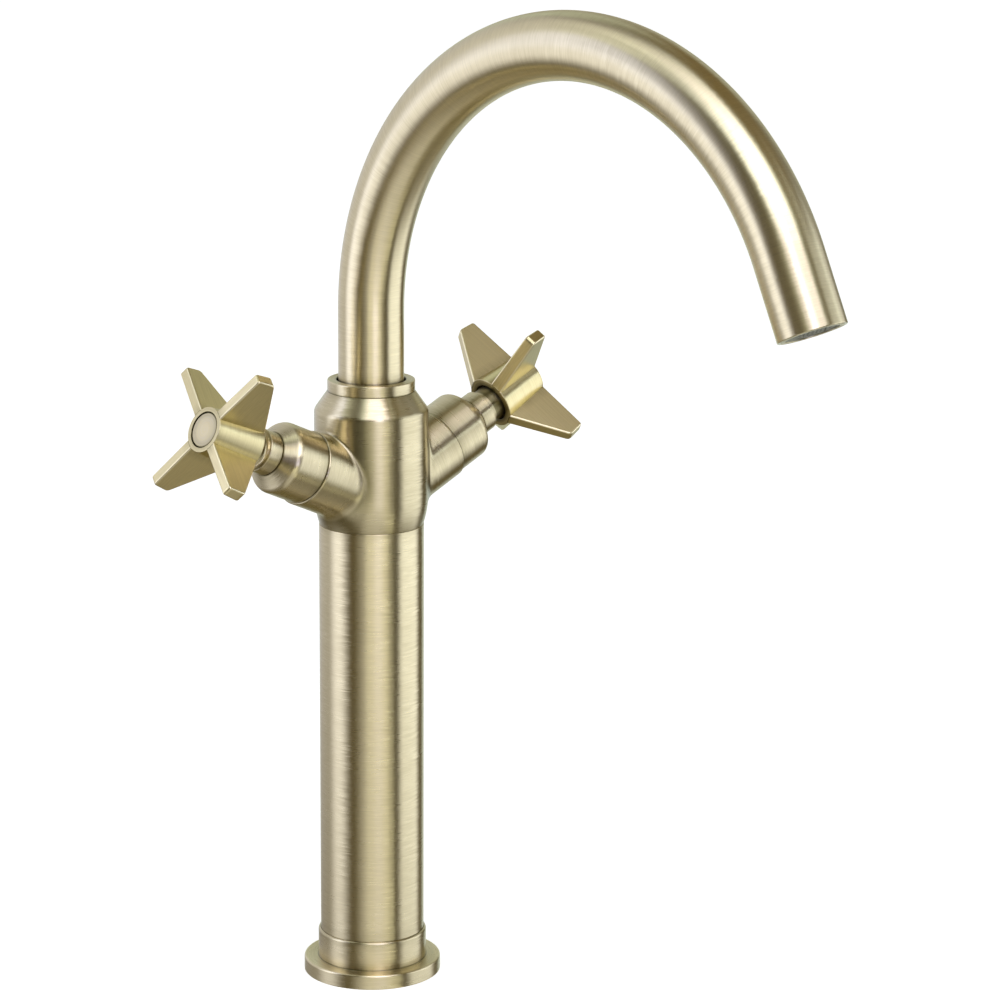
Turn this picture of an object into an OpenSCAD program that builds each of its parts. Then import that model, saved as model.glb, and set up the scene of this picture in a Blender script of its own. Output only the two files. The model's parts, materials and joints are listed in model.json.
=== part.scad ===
// Tall basin mixer tap: a column on a round foot, a cast body with two raised arms,
// a finned cross handle on each arm and a swan-neck spout that turns in the body.
// Origin at the centre of the foot's underside. +Z is up, the arms lie along X and
// the spout reaches towards -Y. The hot side is -X, the cold side is +X.

/* [Foot] */
// Outside diameter of the foot flange
foot_d = 59.6; // [56:0.2:70]
// Thickness of the foot flange
foot_h = 6.4; // [5:0.1:10]
// Radius of the rounded upper rim of the flange
foot_rim = 0.9; // [0.3:0.1:1.5]
// Wall of the collar that rises round the column
foot_collar_wall = 1; // [0.8:0.1:2]
// Height of the collar's top above the mounting surface
foot_collar_top = 19.2; // [14:0.2:30]
// Thickness of the ledge under the column
foot_ledge_h = 2.5; // [1.8:0.1:4]
// How far the ledge reaches in past the column's wall
ledge_lap = 0.8; // [0.5:0.1:1.2]
// Width of the seal's groove in the underside
seal_w = 3; // [2:0.1:3.4]
// Depth of the seal's groove
seal_h = 1.8; // [1:0.1:2.5]

/* [Column] */
// Outside diameter of the column
column_d = 45; // [42:0.5:46]
// Wall of the column
column_wall = 1.5; // [1:0.1:2]
// Height of the joint between the column and the body
column_top = 201; // [120:1:300]
// Height of the insert's top above the mounting surface
insert_top = 16.5; // [16:0.5:22]
// Diameter of the stud hole, the tapping size of an M8 thread
stud_hole_d = 6.8; // [5:0.1:8]
// Diameter of the hose ports, the tapping size of an M10 fine thread
hose_port_d = 9; // [8:0.1:9.6]
// Depth of the hose ports
hose_port_depth = 9; // [6:0.5:10]
// Wall between a hose port and the insert's outside
port_wall = 1.5; // [1.2:0.1:2]
// Outside diameter of the supply pipes
pipe_d = 8; // [6:0.1:8.4]
// Wall of the supply pipes
pipe_wall = 1; // [0.6:0.1:1.5]
// Depth of the pipes' sockets in the insert
pipe_socket = 4; // [3:0.1:5]

/* [Body] */
// Diameter of the body's barrel
body_d = 48.7; // [47:0.1:54]
// Height of the body from the column joint to the foot of the neck ring
body_h = 58; // [56:0.5:64]
// Height over which the barrel's lower end draws in
barrel_h = 13; // [6:0.5:16]
// How far the barrel's lower end draws in, on the radius
barrel_inset = 2.1; // [0.8:0.1:2.4]
// Height of the sloped shoulder
shoulder_h = 8; // [5:0.1:10]
// Radius that softens the shoulder's lower edge
shoulder_round = 4; // [1:0.5:6]
// Diameter of the mixing chamber, in which the spout's nipple turns
chamber_d = 25; // [24:0.1:26]
// Diameter of the threaded mouth for the neck ring
mouth_d = 34; // [33.6:0.1:35]
// Depth of the mouth below the body's top
mouth_depth = 14; // [13.6:0.2:15]
// Depth of the mixing chamber below the body's top
chamber_depth = 33; // [30:0.5:34]
// Length of the spigot that enters the column
spigot_len = 12; // [9:0.5:16]
// Depth of the pipes' sockets in the spigot
body_socket = 8; // [5:0.5:8.5]
// Diameter of the inlets above the pipes
inlet_d = 6; // [4:0.2:6.4]
// Diameter of the passages under the valve seats
passage_d = 6.8; // [6.6:0.1:7]
// Diameter of the ports from the valves into the mixing chamber
mix_port_d = 4.8; // [3:0.2:5]

/* [Arms] */
// Height at which the arms' axes meet the tap's axis, above the column joint
arm_axis_h = 12.9; // [12.5:0.1:14]
// Angle of the arms above level
arm_rise = 24.3; // [22:0.1:27]
// Diameter of the arms
arm_d = 32.5; // [31.5:0.1:33.5]
// Distance from the tap's axis to an arm's end face, along the arm
arm_reach = 40.8; // [40:0.2:48]
// Distance from the tap's axis at which an arm starts, inside the barrel
arm_root = 8; // [7:0.5:12]
// Length of the rounding at an arm's end
arm_round = 2; // [1:0.1:3]
// Diameter of the valve seat's bore, a half-inch pipe thread
seat_bore_d = 20.4; // [20:0.1:21]
// Depth of the valve seat's bore
seat_bore_depth = 18.8; // [18:0.1:19.4]

/* [Neck ring] */
// Outside diameter of the neck ring
neck_ring_d = 37.4; // [37:0.1:40]
// Height of the neck ring above the body
neck_ring_h = 4.9; // [3:0.1:8]
// Rounding of the neck ring's upper edge
neck_ring_edge = 0.6; // [0.2:0.1:1]
// Play all round between the neck ring and the spout
neck_play = 0.8; // [0.4:0.1:1]

/* [Spout] */
// Outside diameter of the spout tube
spout_d = 28; // [27:0.5:28.5]
// Wall of the spout tube
spout_wall = 1.5; // [1:0.1:1.8]
// Height at which the riser starts to bend, above the body's top
riser_h = 34.9; // [20:0.1:80]
// Radius of the swan neck, on the tube's centre line
bend_r = 120.9; // [60:0.1:140]
// Angle through which the swan neck turns
bend_angle = 155.4; // [120:0.1:175]
// Length of the straight outlet
outlet_len = 30.2; // [16:0.1:60]
// How much the outlet is sized over the bent tube, on the radius
outlet_sizing = 0.02; // [0.01:0.01:0.04]
// Angle to which the spout is turned from square to the arms
spout_turn = 3.5; // [-30:0.5:30]
// Height of the nipple's retaining flange
nipple_flange_h = 3.2; // [2.5:0.1:4]
// Length of the nipple below its flange, down into the mixing chamber
nipple_len = 7; // [6.6:0.1:8]
// Wall of the nipple
nipple_wall = 2.9; // [2.5:0.1:3.5]
// Length of the nipple brazed into the tube
nipple_lap = 12.6; // [8:0.2:20]
// Width of the grooves for the O-rings
oring_w = 1.8; // [1.6:0.1:1.9]
// Depth of the grooves for the spout's O-rings
oring_depth = 1.6; // [1.2:0.1:1.8]
// Width of the land above each of the spout's O-rings
oring_land = 1.1; // [0.9:0.1:1.2]
// Thickness of the slide washer under the flange
low_washer_h = 1.2; // [0.8:0.1:1.5]
// Thickness of the slide washer above the flange
top_washer_h = 1; // [0.8:0.1:1.5]

/* [Aerator] */
// Length of the threaded bush in the outlet
bush_len = 12; // [11:0.5:14]
// Wall of the bush
bush_wall = 1.6; // [1.2:0.1:2]
// Width of the shoulder inside the bush
bush_lip = 1.4; // [1:0.1:2]
// Height of the part above that shoulder
bush_lip_h = 2.4; // [1:0.1:2.8]
// Height of the aerator cage
cage_h = 8; // [6:0.1:9]
// Wall of the aerator cage
cage_wall = 1.2; // [0.8:0.1:1.6]
// Thickness of the aerator's face
mesh_h = 1; // [0.6:0.1:1.5]
// Spacing of the openings in the aerator's face
mesh_pitch = 2.4; // [2:0.1:4]
// Width of the bars in the aerator's face
mesh_bar = 0.7; // [0.4:0.1:1]
// Width of the closed rim round the openings
mesh_rim = 1; // [0.6:0.1:2]
// How far the face lies inside the cage's end
mesh_inset = 0.2; // [0.1:0.1:0.6]
// Thickness of the aerator's seal
aerator_seal_h = 1.4; // [1:0.1:1.8]

/* [Bonnets] */
// Diameter of the bonnets
bonnet_d = 31.1; // [30:0.1:31.4]
// Length of a bonnet up to the corner of its nose
bonnet_len = 15.8; // [14:0.1:20]
// Length of the nose
nose_len = 4.6; // [3.5:0.1:6]
// Radius that softens the nose's corner
nose_round = 3; // [0.5:0.1:3.5]
// Wall of the bonnet
bonnet_wall = 1.6; // [1.2:0.1:2]
// Diameter of the collar that holds the bonnet
collar_d = 18.8; // [18:0.1:20]
// Length of that collar
collar_len = 6.8; // [4:0.1:9]
// Chamfer on the collar's front edge
collar_edge = 0.6; // [0.2:0.1:1]
// Width of the groove between the bonnet's nose and the collar
collar_groove = 0.5; // [0.2:0.1:1]
// Diameter of the thinner sleeve in front of the collar
sleeve_d = 15.6; // [15.4:0.1:16]
// Length of the sleeve
sleeve_len = 9; // [8:0.1:10]

/* [Headworks] */
// Width across the flats of the headwork's hexagon
hexagon_af = 22; // [21.4:0.1:23]
// Height of the hexagon
hexagon_h = 5; // [3:0.1:8]
// Diameter of the headwork's neck
headwork_neck_d = 13.9; // [13:0.1:14.2]
// Wall of the skirt that holds the discs
skirt_wall = 0.65; // [0.5:0.05:0.8]
// Gap between that skirt and the valve's bore
skirt_gap = 0.8; // [0.5:0.1:1]
// Height of the windows through the skirt
window_h = 3; // [2:0.1:3.4]
// Width of the windows through the skirt
window_w = 4; // [3:0.1:5]
// Thickness of each ceramic disc
disc_h = 3; // [2.5:0.1:3.2]
// Thickness of the seat seal
seat_seal_h = 2.4; // [2:0.1:2.6]
// Diameter of the hole in the seat seal
seat_hole_d = 7; // [6.6:0.1:9]
// Width of the web between a disc's two ports
port_web = 1.6; // [1:0.1:2.4]
// Thickness of the seal under the hexagon
flange_seal_h = 1.2; // [0.8:0.1:1.6]
// Diameter of the spindle
spindle_d = 8; // [7:0.1:8.4]
// Height of the spindle's driving foot
spindle_foot_h = 3.6; // [3:0.1:4]
// Width of the key under the spindle's foot, which drives the turning disc
key_w = 3; // [2:0.1:4]
// Length of the key
key_len = 14; // [10:0.5:15]
// Height of the key
key_h = 1.2; // [0.8:0.1:1.6]
// Distance of the spindle's groove above the hexagon
groove_up = 3; // [2:0.5:8]
// Depth of the spindle's groove
groove_depth = 1.1; // [0.8:0.1:1.3]
// Number of splines on the spindle's end
spline_count = 20; // [12:1:24]
// Depth of the splines
spline_depth = 0.5; // [0.3:0.05:0.6]
// How far the splines' crests lie below the spindle's surface
spline_relief = 0.1; // [0.05:0.05:0.3]
// Length of the splined end
spline_len = 10; // [8:0.1:12]

/* [Handles] */
// Gap between the bonnet's collar and the handle's hub
hub_gap = 6.2; // [5:0.1:7]
// Length of the hub
hub_len = 23.5; // [22:0.1:28]
// Diameter of the hub at the back
hub_back_d = 23.6; // [21.6:0.1:25]
// Diameter of the hub at the front
hub_front_d = 19.4; // [18.6:0.1:22]
// Depth of the recess in the hub's back
hub_recess = 5.5; // [4.5:0.1:6.5]
// Play all round the sleeve in that recess
recess_play = 0.9; // [0.4:0.1:1]
// Wall between the splined socket and the screw's head
web_h = 1.5; // [1.2:0.1:2]
// Distance of the fins' tips from the handle's axis
fin_reach = 35; // [28:0.5:45]
// Thickness of the fins at the handle's front
fin_front_t = 4.7; // [3:0.1:6]
// Thickness of the fins at the handle's back
fin_back_t = 6; // [3:0.1:7]
// Depth of a fin at its tip
fin_tip_depth = 8; // [4:0.1:12]
// How much farther a fin reaches at the back of its tip than at the front
fin_tip_lean = 0.9; // [0:0.1:3]
// How far a fin's front edge falls back between the hub and the tip
fin_sweep = 0.4; // [0:0.1:3]
// Rounding of the back corner at a fin's tip
fin_back_round = 2; // [1:0.1:3]
// Rounding of the front corner at a fin's tip
fin_front_round = 0.8; // [0.8:0.1:1.5]
// Chamfer along the fins' edges
fin_edge = 0.6; // [0.3:0.1:1]
// Angle of the first fin from straight down, with the handle closed
fin_start = 40; // [0:1:89]
// Diameter of the index cap
cap_d = 14.8; // [13:0.1:15]
// Thickness of the index cap
cap_h = 2.2; // [1.6:0.1:2.4]
// Gap round the index cap
cap_gap = 0.3; // [0.1:0.1:0.6]
// Chamfer on the index cap
cap_edge = 0.3; // [0.1:0.1:0.8]
// Length of the plug under the index cap
cap_plug = 1; // [0.6:0.1:1.4]
// Depth of the index cap's recess
cap_recess = 2.5; // [2.4:0.1:3]
// Diameter of the screw's head
screw_head_d = 8.5; // [7.5:0.1:9]
// Height of the screw's head
screw_head_h = 3; // [2:0.1:3.4]
// Width across the flats of the hexagon socket in the head
socket_af = 4; // [3:0.1:4.5]
// Depth of the hexagon socket
socket_depth = 1.8; // [1.2:0.1:2]
// Thread diameter of the screw
screw_d = 5; // [4:0.1:5.2]
// Length of the screw below its head
screw_len = 12; // [8:0.5:13]

/* [Clearances] */
// Running clearance all round a part that turns in a bore
run_clear = 0.05; // [0.02:0.01:0.09]
// Clearance all round a part that is screwed, pressed or brazed in
seat_clear = 0.05; // [0.02:0.01:0.08]
// Clearance all round a part that turns without touching
free_clear = 0.5; // [0.35:0.05:0.7]

/* [Hidden] */
$fn = 96;

brushed_brass = [0.78, 0.72, 0.53];
plain_brass = [0.80, 0.66, 0.36];
copper = [0.72, 0.45, 0.32];
steel = [0.74, 0.75, 0.76];
rubber = [0.11, 0.11, 0.12];
nylon = [0.90, 0.89, 0.85];
ceramic = [0.94, 0.93, 0.90];

hot = -1;
cold = 1;

// Foot and column
foot_r = foot_d / 2;
column_r = column_d / 2;
column_in_r = column_r - column_wall;
collar_bore_r = column_r + seat_clear;
foot_collar_r = collar_bore_r + foot_collar_wall;
ledge_bore_r = column_in_r - ledge_lap;
seal_mid_r = (foot_collar_r + foot_r) / 2;
insert_r = column_in_r - seat_clear;
pipe_x = column_in_r - port_wall - hose_port_d / 2;
pipe_r = pipe_d / 2;
pipe_bottom = insert_top - pipe_socket;

// Body
body_r = body_d / 2;
body_top = column_top + body_h;
neck_r = neck_ring_d / 2;
spigot_bottom = column_top - spigot_len;
pipe_top = spigot_bottom + body_socket;
chamber_r = chamber_d / 2;
mouth_r = mouth_d / 2;
mouth_floor = body_top - mouth_depth;
inlet_r = inlet_d / 2;
passage_r = passage_d / 2;

// Arms, measured along each arm from the tap's axis
arm_axis_z = column_top + arm_axis_h;
arm_r = arm_d / 2;
bonnet_r = bonnet_d / 2;
seat_s = arm_reach - seat_bore_depth;
seat_bore_r = seat_bore_d / 2;
pipe_s = pipe_x / cos(arm_rise);
pipe_meets_arm_z = arm_axis_z + pipe_x * tan(arm_rise);

// Headwork, measured along the arm
disc_s = seat_s + seat_seal_h;
turning_disc_s = disc_s + disc_h;
foot_s = turning_disc_s + disc_h;
skirt_out_r = seat_bore_r - skirt_gap;
skirt_in_r = skirt_out_r - skirt_wall;
thread_s = foot_s + spindle_foot_h;
hexagon_s = arm_reach + flange_seal_h;
headwork_neck_r = headwork_neck_d / 2;
spindle_r = spindle_d / 2;
foot_disc_r = skirt_in_r - free_clear;
groove_floor_r = spindle_r - groove_depth;
groove_s = hexagon_s + hexagon_h + groove_up;
mix_port_s = disc_s + disc_h;
mix_port_z = arm_axis_z + mix_port_s * sin(arm_rise) + skirt_out_r * cos(arm_rise);
mix_port_x = mix_port_s * cos(arm_rise) - skirt_out_r * sin(arm_rise);

// Bonnet, collar and hub, measured along the arm
nose_s = arm_reach + bonnet_len + nose_len;
collar_r = collar_d / 2;
sleeve_r = sleeve_d / 2;
neck_bore_r = headwork_neck_r + seat_clear;
collar_end_s = nose_s + collar_len;
sleeve_end_s = collar_end_s + sleeve_len;
hub_s = collar_end_s + hub_gap;

// Handle, measured from the hub's back
hub_back_r = hub_back_d / 2;
hub_front_r = hub_front_d / 2;
spindle_end = hub_recess + spline_len;
head_seat = spindle_end + web_h;
head_pocket_r = screw_head_d / 2 + free_clear;
cap_r = cap_d / 2;
cap_floor = hub_len - cap_recess;

// Spout
spout_r = spout_d / 2;
spout_in_r = spout_r - spout_wall;
nipple_r = chamber_r - run_clear;
flange_bottom = mouth_floor + low_washer_h;
flange_top = flange_bottom + nipple_flange_h;
ring_spigot_bottom = flange_top + top_washer_h;
flange_r = mouth_r - free_clear;
washer_r = mouth_r - seat_clear;
riser_top = body_top + riser_h;
oring_floor_r = nipple_r - oring_depth;
bush_r = spout_in_r - seat_clear;
bush_in_r = spout_in_r - bush_wall;
bush_top = outlet_len - bush_len;
cage_top = bush_top + bush_lip_h + aerator_seal_h;
cage_r = bush_in_r - seat_clear;
mesh_r = cage_r - cage_wall - seat_clear / 2;
mesh_top = cage_top + cage_h - mesh_inset - mesh_h;

// How far pieces that are joined into one reach into each other
lap = 0.5;

// Unit vector of a 2-D direction
function unit(p) = p / norm(p);

// Points of the arc of radius r that rounds the corner b between a and c
function round_corner(a, b, c, r, steps = 5) =
    let (
        u = unit(a - b),
        v = unit(c - b),
        half = acos(u * v) / 2,
        centre = b + unit(u + v) * r / sin(half),
        p = b + u * r / tan(half) - centre,
        q = b + v * r / tan(half) - centre,
        sweep = sign(p[0] * q[1] - p[1] * q[0]) * (180 - 2 * half)
    )
    [for (i = [0:steps])
        let (t = sweep * i / steps)
        centre + [p[0] * cos(t) - p[1] * sin(t), p[0] * sin(t) + p[1] * cos(t)]];

// Plain ring from height z up
module ring(r_out, r_in, z, h) {
    translate([0, 0, z])
        difference() {
            cylinder(r = r_out, h = h);
            translate([0, 0, -1])
                cylinder(r = r_in, h = h + 2);
        }
}

// Half section of a post of radius r whose top draws in by inset over the height h
module drawn_in(r, inset, h) {
    curve_r = (h * h + inset * inset) / (2 * inset);
    intersection() {
        square([r, h]);
        translate([r - curve_r, 0])
            circle(r = curve_r, $fn = 240);
    }
}

// Sealing ring that fills a groove: flat on its floor and outside, round at its sides
module groove_ring(floor_r, out_r, z, w) {
    translate([0, 0, z + w / 2])
        rotate_extrude()
            translate([(floor_r + out_r) / 2, 0])
                intersection() {
                    circle(d = w);
                    square([out_r - floor_r, w], center = true);
                }
}

// Foot: flange and collar in one piece, a ledge under the column, a groove for the seal
module foot_flange() {
    rim = round_corner([0, foot_h], [foot_r, foot_h], [foot_r, 0], foot_rim);
    lip = round_corner([0, foot_collar_top], [foot_collar_r, foot_collar_top], [foot_collar_r, 0],
        foot_collar_wall * 0.8);
    color(brushed_brass)
        difference() {
            rotate_extrude()
                polygon(concat(
                    [[ledge_bore_r, 0], [ledge_bore_r, foot_ledge_h], [collar_bore_r, foot_ledge_h],
                        [collar_bore_r, foot_collar_top]],
                    lip,
                    [[foot_collar_r, foot_h]],
                    rim,
                    [[foot_r, 0]]));
            ring(seal_mid_r + seal_w / 2, seal_mid_r - seal_w / 2, -1, seal_h + 1);
        }
}

module foot_seal() {
    color(rubber)
        ring(seal_mid_r + seal_w / 2, seal_mid_r - seal_w / 2, 0, seal_h);
}

// Plug in the column's foot, flush with the flange's underside: a stud hole in the
// middle, a hose port under each pipe
module base_insert() {
    color(plain_brass)
        difference() {
            union() {
                cylinder(r = ledge_bore_r - seat_clear, h = foot_ledge_h + lap);
                translate([0, 0, foot_ledge_h])
                    cylinder(r = insert_r, h = insert_top - foot_ledge_h);
            }
            translate([0, 0, -1])
                cylinder(d = stud_hole_d, h = insert_top + 2);
            for (side = [hot, cold])
                translate([side * pipe_x, 0, 0]) {
                    translate([0, 0, -1])
                        cylinder(d = hose_port_d, h = hose_port_depth + 1);
                    cylinder(r = pipe_r - pipe_wall, h = insert_top);
                    translate([0, 0, pipe_bottom])
                        cylinder(r = pipe_r + seat_clear, h = pipe_socket + 1);
                }
        }
}

module column_tube() {
    color(brushed_brass)
        ring(column_r, column_in_r, foot_ledge_h, column_top - foot_ledge_h);
}

module supply_pipe(side) {
    color(copper)
        translate([side * pipe_x, 0, 0])
            ring(pipe_r, pipe_r - pipe_wall, pipe_bottom, pipe_top - pipe_bottom);
}

// Places its children on one arm: +Z along the arm, the hot side mirrored from the cold side
module on_arm(side) {
    if (side == hot)
        mirror([1, 0, 0])
            on_arm(cold)
                children();
    else
        translate([0, 0, arm_axis_z])
            rotate([0, 90 - arm_rise, 0])
                children();
}

// Outside of the body: barrel, shoulder and the spigot that enters the column
module body_barrel() {
    shoulder_foot = [body_r, body_top - shoulder_h];
    rotate_extrude()
        polygon(concat(
            [[0, column_top + barrel_h], [body_r, column_top + barrel_h]],
            round_corner([body_r, column_top], shoulder_foot, [neck_r, body_top], shoulder_round),
            [[neck_r, body_top], [0, body_top]]));
    translate([0, 0, column_top + barrel_h])
        mirror([0, 0, 1])
            rotate_extrude()
                drawn_in(body_r, barrel_inset, barrel_h);
    translate([0, 0, spigot_bottom])
        cylinder(r = insert_r, h = spigot_len + 1);
}

// Outside of one arm, rounded down to the bonnet at its end
module body_arm() {
    translate([0, 0, arm_root])
        cylinder(r = arm_r, h = arm_reach - arm_round - arm_root);
    translate([0, 0, arm_reach - arm_round])
        rotate_extrude()
            drawn_in(arm_r, arm_r - bonnet_r, arm_round);
}

// Water ways of one arm: the valve's bore, the inlet under its seat, and the pipe's socket
module arm_ways(side) {
    on_arm(side) {
        translate([0, 0, seat_s])
            cylinder(r = seat_bore_r, h = seat_bore_depth + 1);
        translate([0, 0, pipe_s - passage_r])
            cylinder(r = passage_r, h = seat_s - pipe_s + passage_r + 1);
    }
    translate([side * pipe_x, 0, 0]) {
        translate([0, 0, spigot_bottom])
            cylinder(r = inlet_r, h = pipe_meets_arm_z - spigot_bottom);
        translate([0, 0, spigot_bottom - 1])
            cylinder(r = pipe_r + seat_clear, h = body_socket + 1);
    }
}

// Cast body: barrel and arms in one piece, mixing chamber, spout mouth and water ways
module mixer_body() {
    color(brushed_brass)
        difference() {
            union() {
                body_barrel();
                on_arm(hot)
                    body_arm();
                on_arm(cold)
                    body_arm();
            }
            translate([0, 0, body_top - chamber_depth])
                cylinder(r = chamber_r, h = chamber_depth + 1);
            translate([0, 0, mouth_floor])
                cylinder(r = mouth_r, h = mouth_depth + 1);
            translate([-mix_port_x, 0, mix_port_z])
                rotate([0, 90, 0])
                    cylinder(d = mix_port_d, h = 2 * mix_port_x);
            arm_ways(hot);
            arm_ways(cold);
        }
}

// Ring screwed into the body's mouth over the nipple's flange
module neck_ring() {
    edge = round_corner([0, neck_ring_h], [neck_r, neck_ring_h], [neck_r, 0], neck_ring_edge);
    bore_r = spout_r + neck_play;
    color(brushed_brass)
        translate([0, 0, body_top])
            rotate_extrude()
                polygon(concat(
                    [[bore_r, ring_spigot_bottom - body_top], [bore_r, neck_ring_h]],
                    edge,
                    [[neck_r, 0], [washer_r, 0], [washer_r, ring_spigot_bottom - body_top]]));
}

module low_washer() {
    color(nylon)
        ring(washer_r, nipple_r + free_clear, mouth_floor, low_washer_h);
}

module top_washer() {
    color(nylon)
        ring(washer_r, spout_r + neck_play, flange_top, top_washer_h);
}

// Turns its children to where the spout stands
module on_spout() {
    rotate([0, 0, spout_turn])
        children();
}

// Places its children at the end of the swan neck, with +Z along the outlet
module at_outlet() {
    on_spout()
        translate([0, -bend_r, riser_top])
            rotate([90, 0, 90])
                rotate([0, 0, bend_angle])
                    translate([bend_r, 0, 0])
                        rotate([-90, 0, 0])
                            children();
}

// One tube: straight riser, swan neck in a single bend, straight outlet sized at its end
module spout_tube() {
    color(brushed_brass) {
        on_spout() {
            ring(spout_r, spout_in_r, flange_top, riser_top - flange_top);
            translate([0, -bend_r, riser_top])
                rotate([90, 0, 90])
                    rotate_extrude(angle = bend_angle)
                        translate([bend_r, 0])
                            difference() {
                                circle(r = spout_r);
                                circle(r = spout_in_r);
                            }
        }
        at_outlet()
            ring(spout_r + outlet_sizing, spout_in_r - outlet_sizing, -lap, outlet_len + lap);
    }
}

// Lower end of each groove for a spout O-ring
function oring_z(i) = mouth_floor - oring_land - oring_w - i * (oring_land + oring_w);

// Nipple brazed into the tube: flange held under the neck ring, two grooves below it
module spout_nipple() {
    in_r = chamber_r - nipple_wall;
    color(plain_brass)
        on_spout()
            difference() {
                union() {
                    translate([0, 0, mouth_floor - nipple_len])
                        cylinder(r = nipple_r, h = nipple_len + low_washer_h + lap);
                    translate([0, 0, flange_bottom])
                        cylinder(r = flange_r, h = nipple_flange_h);
                    translate([0, 0, flange_top - lap])
                        cylinder(r = bush_r, h = nipple_lap + lap);
                }
                translate([0, 0, mouth_floor - nipple_len - 1])
                    cylinder(r = in_r, h = nipple_len + low_washer_h + nipple_flange_h + nipple_lap + 2);
                for (i = [0, 1])
                    ring(nipple_r + 1, oring_floor_r, oring_z(i), oring_w);
            }
}

module spout_oring(i) {
    color(rubber)
        on_spout()
            groove_ring(oring_floor_r, nipple_r, oring_z(i), oring_w);
}

// Threaded bush in the outlet, with a shoulder for the aerator's seal
module outlet_bush() {
    color(brushed_brass)
        at_outlet()
            difference() {
                translate([0, 0, bush_top])
                    cylinder(r = bush_r, h = bush_len);
                translate([0, 0, bush_top - 1])
                    cylinder(r = bush_in_r - bush_lip, h = bush_len + 2);
                translate([0, 0, bush_top + bush_lip_h])
                    cylinder(r = bush_in_r, h = bush_len);
            }
}

module aerator_seal() {
    color(rubber)
        at_outlet()
            ring(bush_in_r - seat_clear, bush_in_r - bush_lip, bush_top + bush_lip_h, aerator_seal_h);
}

module aerator_cage() {
    color(steel)
        at_outlet()
            ring(cage_r, cage_r - cage_wall, cage_top, cage_h);
}

// Face of the aerator: a round grid across the outlet, held in the cage
module aerator_mesh() {
    rim_r = mesh_r - mesh_rim;
    cell = mesh_pitch - mesh_bar;
    span = floor(rim_r / mesh_pitch);
    color(steel)
        at_outlet()
            translate([0, 0, mesh_top])
                linear_extrude(height = mesh_h)
                    difference() {
                        circle(r = mesh_r);
                        for (i = [-span:span])
                            for (j = [-span:span])
                                if (norm([i, j]) * mesh_pitch + cell / sqrt(2) < rim_r)
                                    translate([i, j] * mesh_pitch)
                                        square(cell, center = true);
                    }
}

module seat_seal(side) {
    color(rubber)
        on_arm(side)
            ring(seat_bore_r - seat_clear, seat_hole_d / 2, seat_s, seat_seal_h);
}

// Half-moon port of a ceramic disc
module disc_port(turned) {
    rotate([0, 0, turned])
        linear_extrude(height = disc_h + 2)
            intersection() {
                circle(d = seat_hole_d);
                translate([-seat_hole_d, port_web / 2])
                    square(2 * seat_hole_d);
            }
}

// Lower disc: two half-moon ports, keyed in the skirt
module fixed_disc(side) {
    color(ceramic)
        on_arm(side)
            translate([0, 0, disc_s])
                difference() {
                    cylinder(r = skirt_in_r - seat_clear, h = disc_h);
                    translate([0, 0, -1]) {
                        disc_port(0);
                        disc_port(180);
                    }
                }
}

// Upper disc: it covers the ports when closed, and its back has the slot that drives it
module turning_disc(side) {
    color(ceramic)
        on_arm(side)
            translate([0, 0, turning_disc_s])
                difference() {
                    cylinder(r = foot_disc_r, h = disc_h);
                    translate([-foot_disc_r - 1, -key_w / 2 - seat_clear, disc_h - key_h - seat_clear])
                        cube([2 * foot_disc_r + 2, key_w + 2 * seat_clear, key_h + 1]);
                }
}

// Headwork body: skirt round the discs, thread in the arm, hexagon, neck for the collar
module headwork(side) {
    window_s = foot_s + (spindle_foot_h - window_h) / 2;
    color(plain_brass)
        on_arm(side)
            difference() {
                union() {
                    translate([0, 0, disc_s])
                        cylinder(r = skirt_out_r, h = thread_s - disc_s + lap);
                    translate([0, 0, thread_s])
                        cylinder(r = seat_bore_r - seat_clear, h = hexagon_s - thread_s + lap);
                    translate([0, 0, hexagon_s])
                        cylinder(d = hexagon_af / cos(30), h = hexagon_h, $fn = 6);
                    translate([0, 0, hexagon_s])
                        cylinder(r = headwork_neck_r, h = sleeve_end_s - hexagon_s);
                }
                translate([0, 0, disc_s - 1])
                    cylinder(r = skirt_in_r, h = thread_s - disc_s + 1);
                translate([0, 0, disc_s])
                    cylinder(r = spindle_r + run_clear, h = sleeve_end_s - disc_s + 1);
                translate([-window_w / 2, -seat_bore_r - 1, window_s])
                    cube([window_w, 2 * seat_bore_r + 2, window_h]);
            }
}

module flange_seal(side) {
    color(rubber)
        on_arm(side)
            ring(hexagon_af / 2, seat_bore_r + seat_clear, arm_reach, flange_seal_h);
}

// Bonnet: a shell over the headwork, its nose clamped by the collar
module bonnet(side) {
    tip = [collar_r + 0.2, bonnet_len + nose_len];
    in_r = bonnet_r - bonnet_wall;
    color(brushed_brass)
        on_arm(side)
            translate([0, 0, arm_reach])
                rotate_extrude()
                    polygon(concat(
                        [[in_r, 0], [bonnet_r, 0]],
                        round_corner([bonnet_r, 0], [bonnet_r, bonnet_len], tip, nose_round),
                        [tip, [neck_bore_r, tip[1]], [neck_bore_r, bonnet_len],
                            [in_r - nose_round, bonnet_len], [in_r, bonnet_len - nose_round]]));
}

// Collar screwed on the headwork's neck, with a thinner sleeve that the hub covers
module collar(side) {
    waist_r = collar_r - collar_groove;
    shoulder_r = collar_r - collar_edge;
    end = collar_len + sleeve_len;
    end_edge = collar_edge / 2;
    color(brushed_brass)
        on_arm(side)
            translate([0, 0, nose_s])
                rotate_extrude()
                    polygon([
                        [neck_bore_r, 0], [waist_r, 0], [waist_r, collar_groove], [collar_r, collar_groove],
                        [collar_r, collar_len - collar_edge], [shoulder_r, collar_len],
                        [sleeve_r, collar_len], [sleeve_r, end - end_edge],
                        [sleeve_r - end_edge, end], [neck_bore_r, end]]);
}

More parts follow.
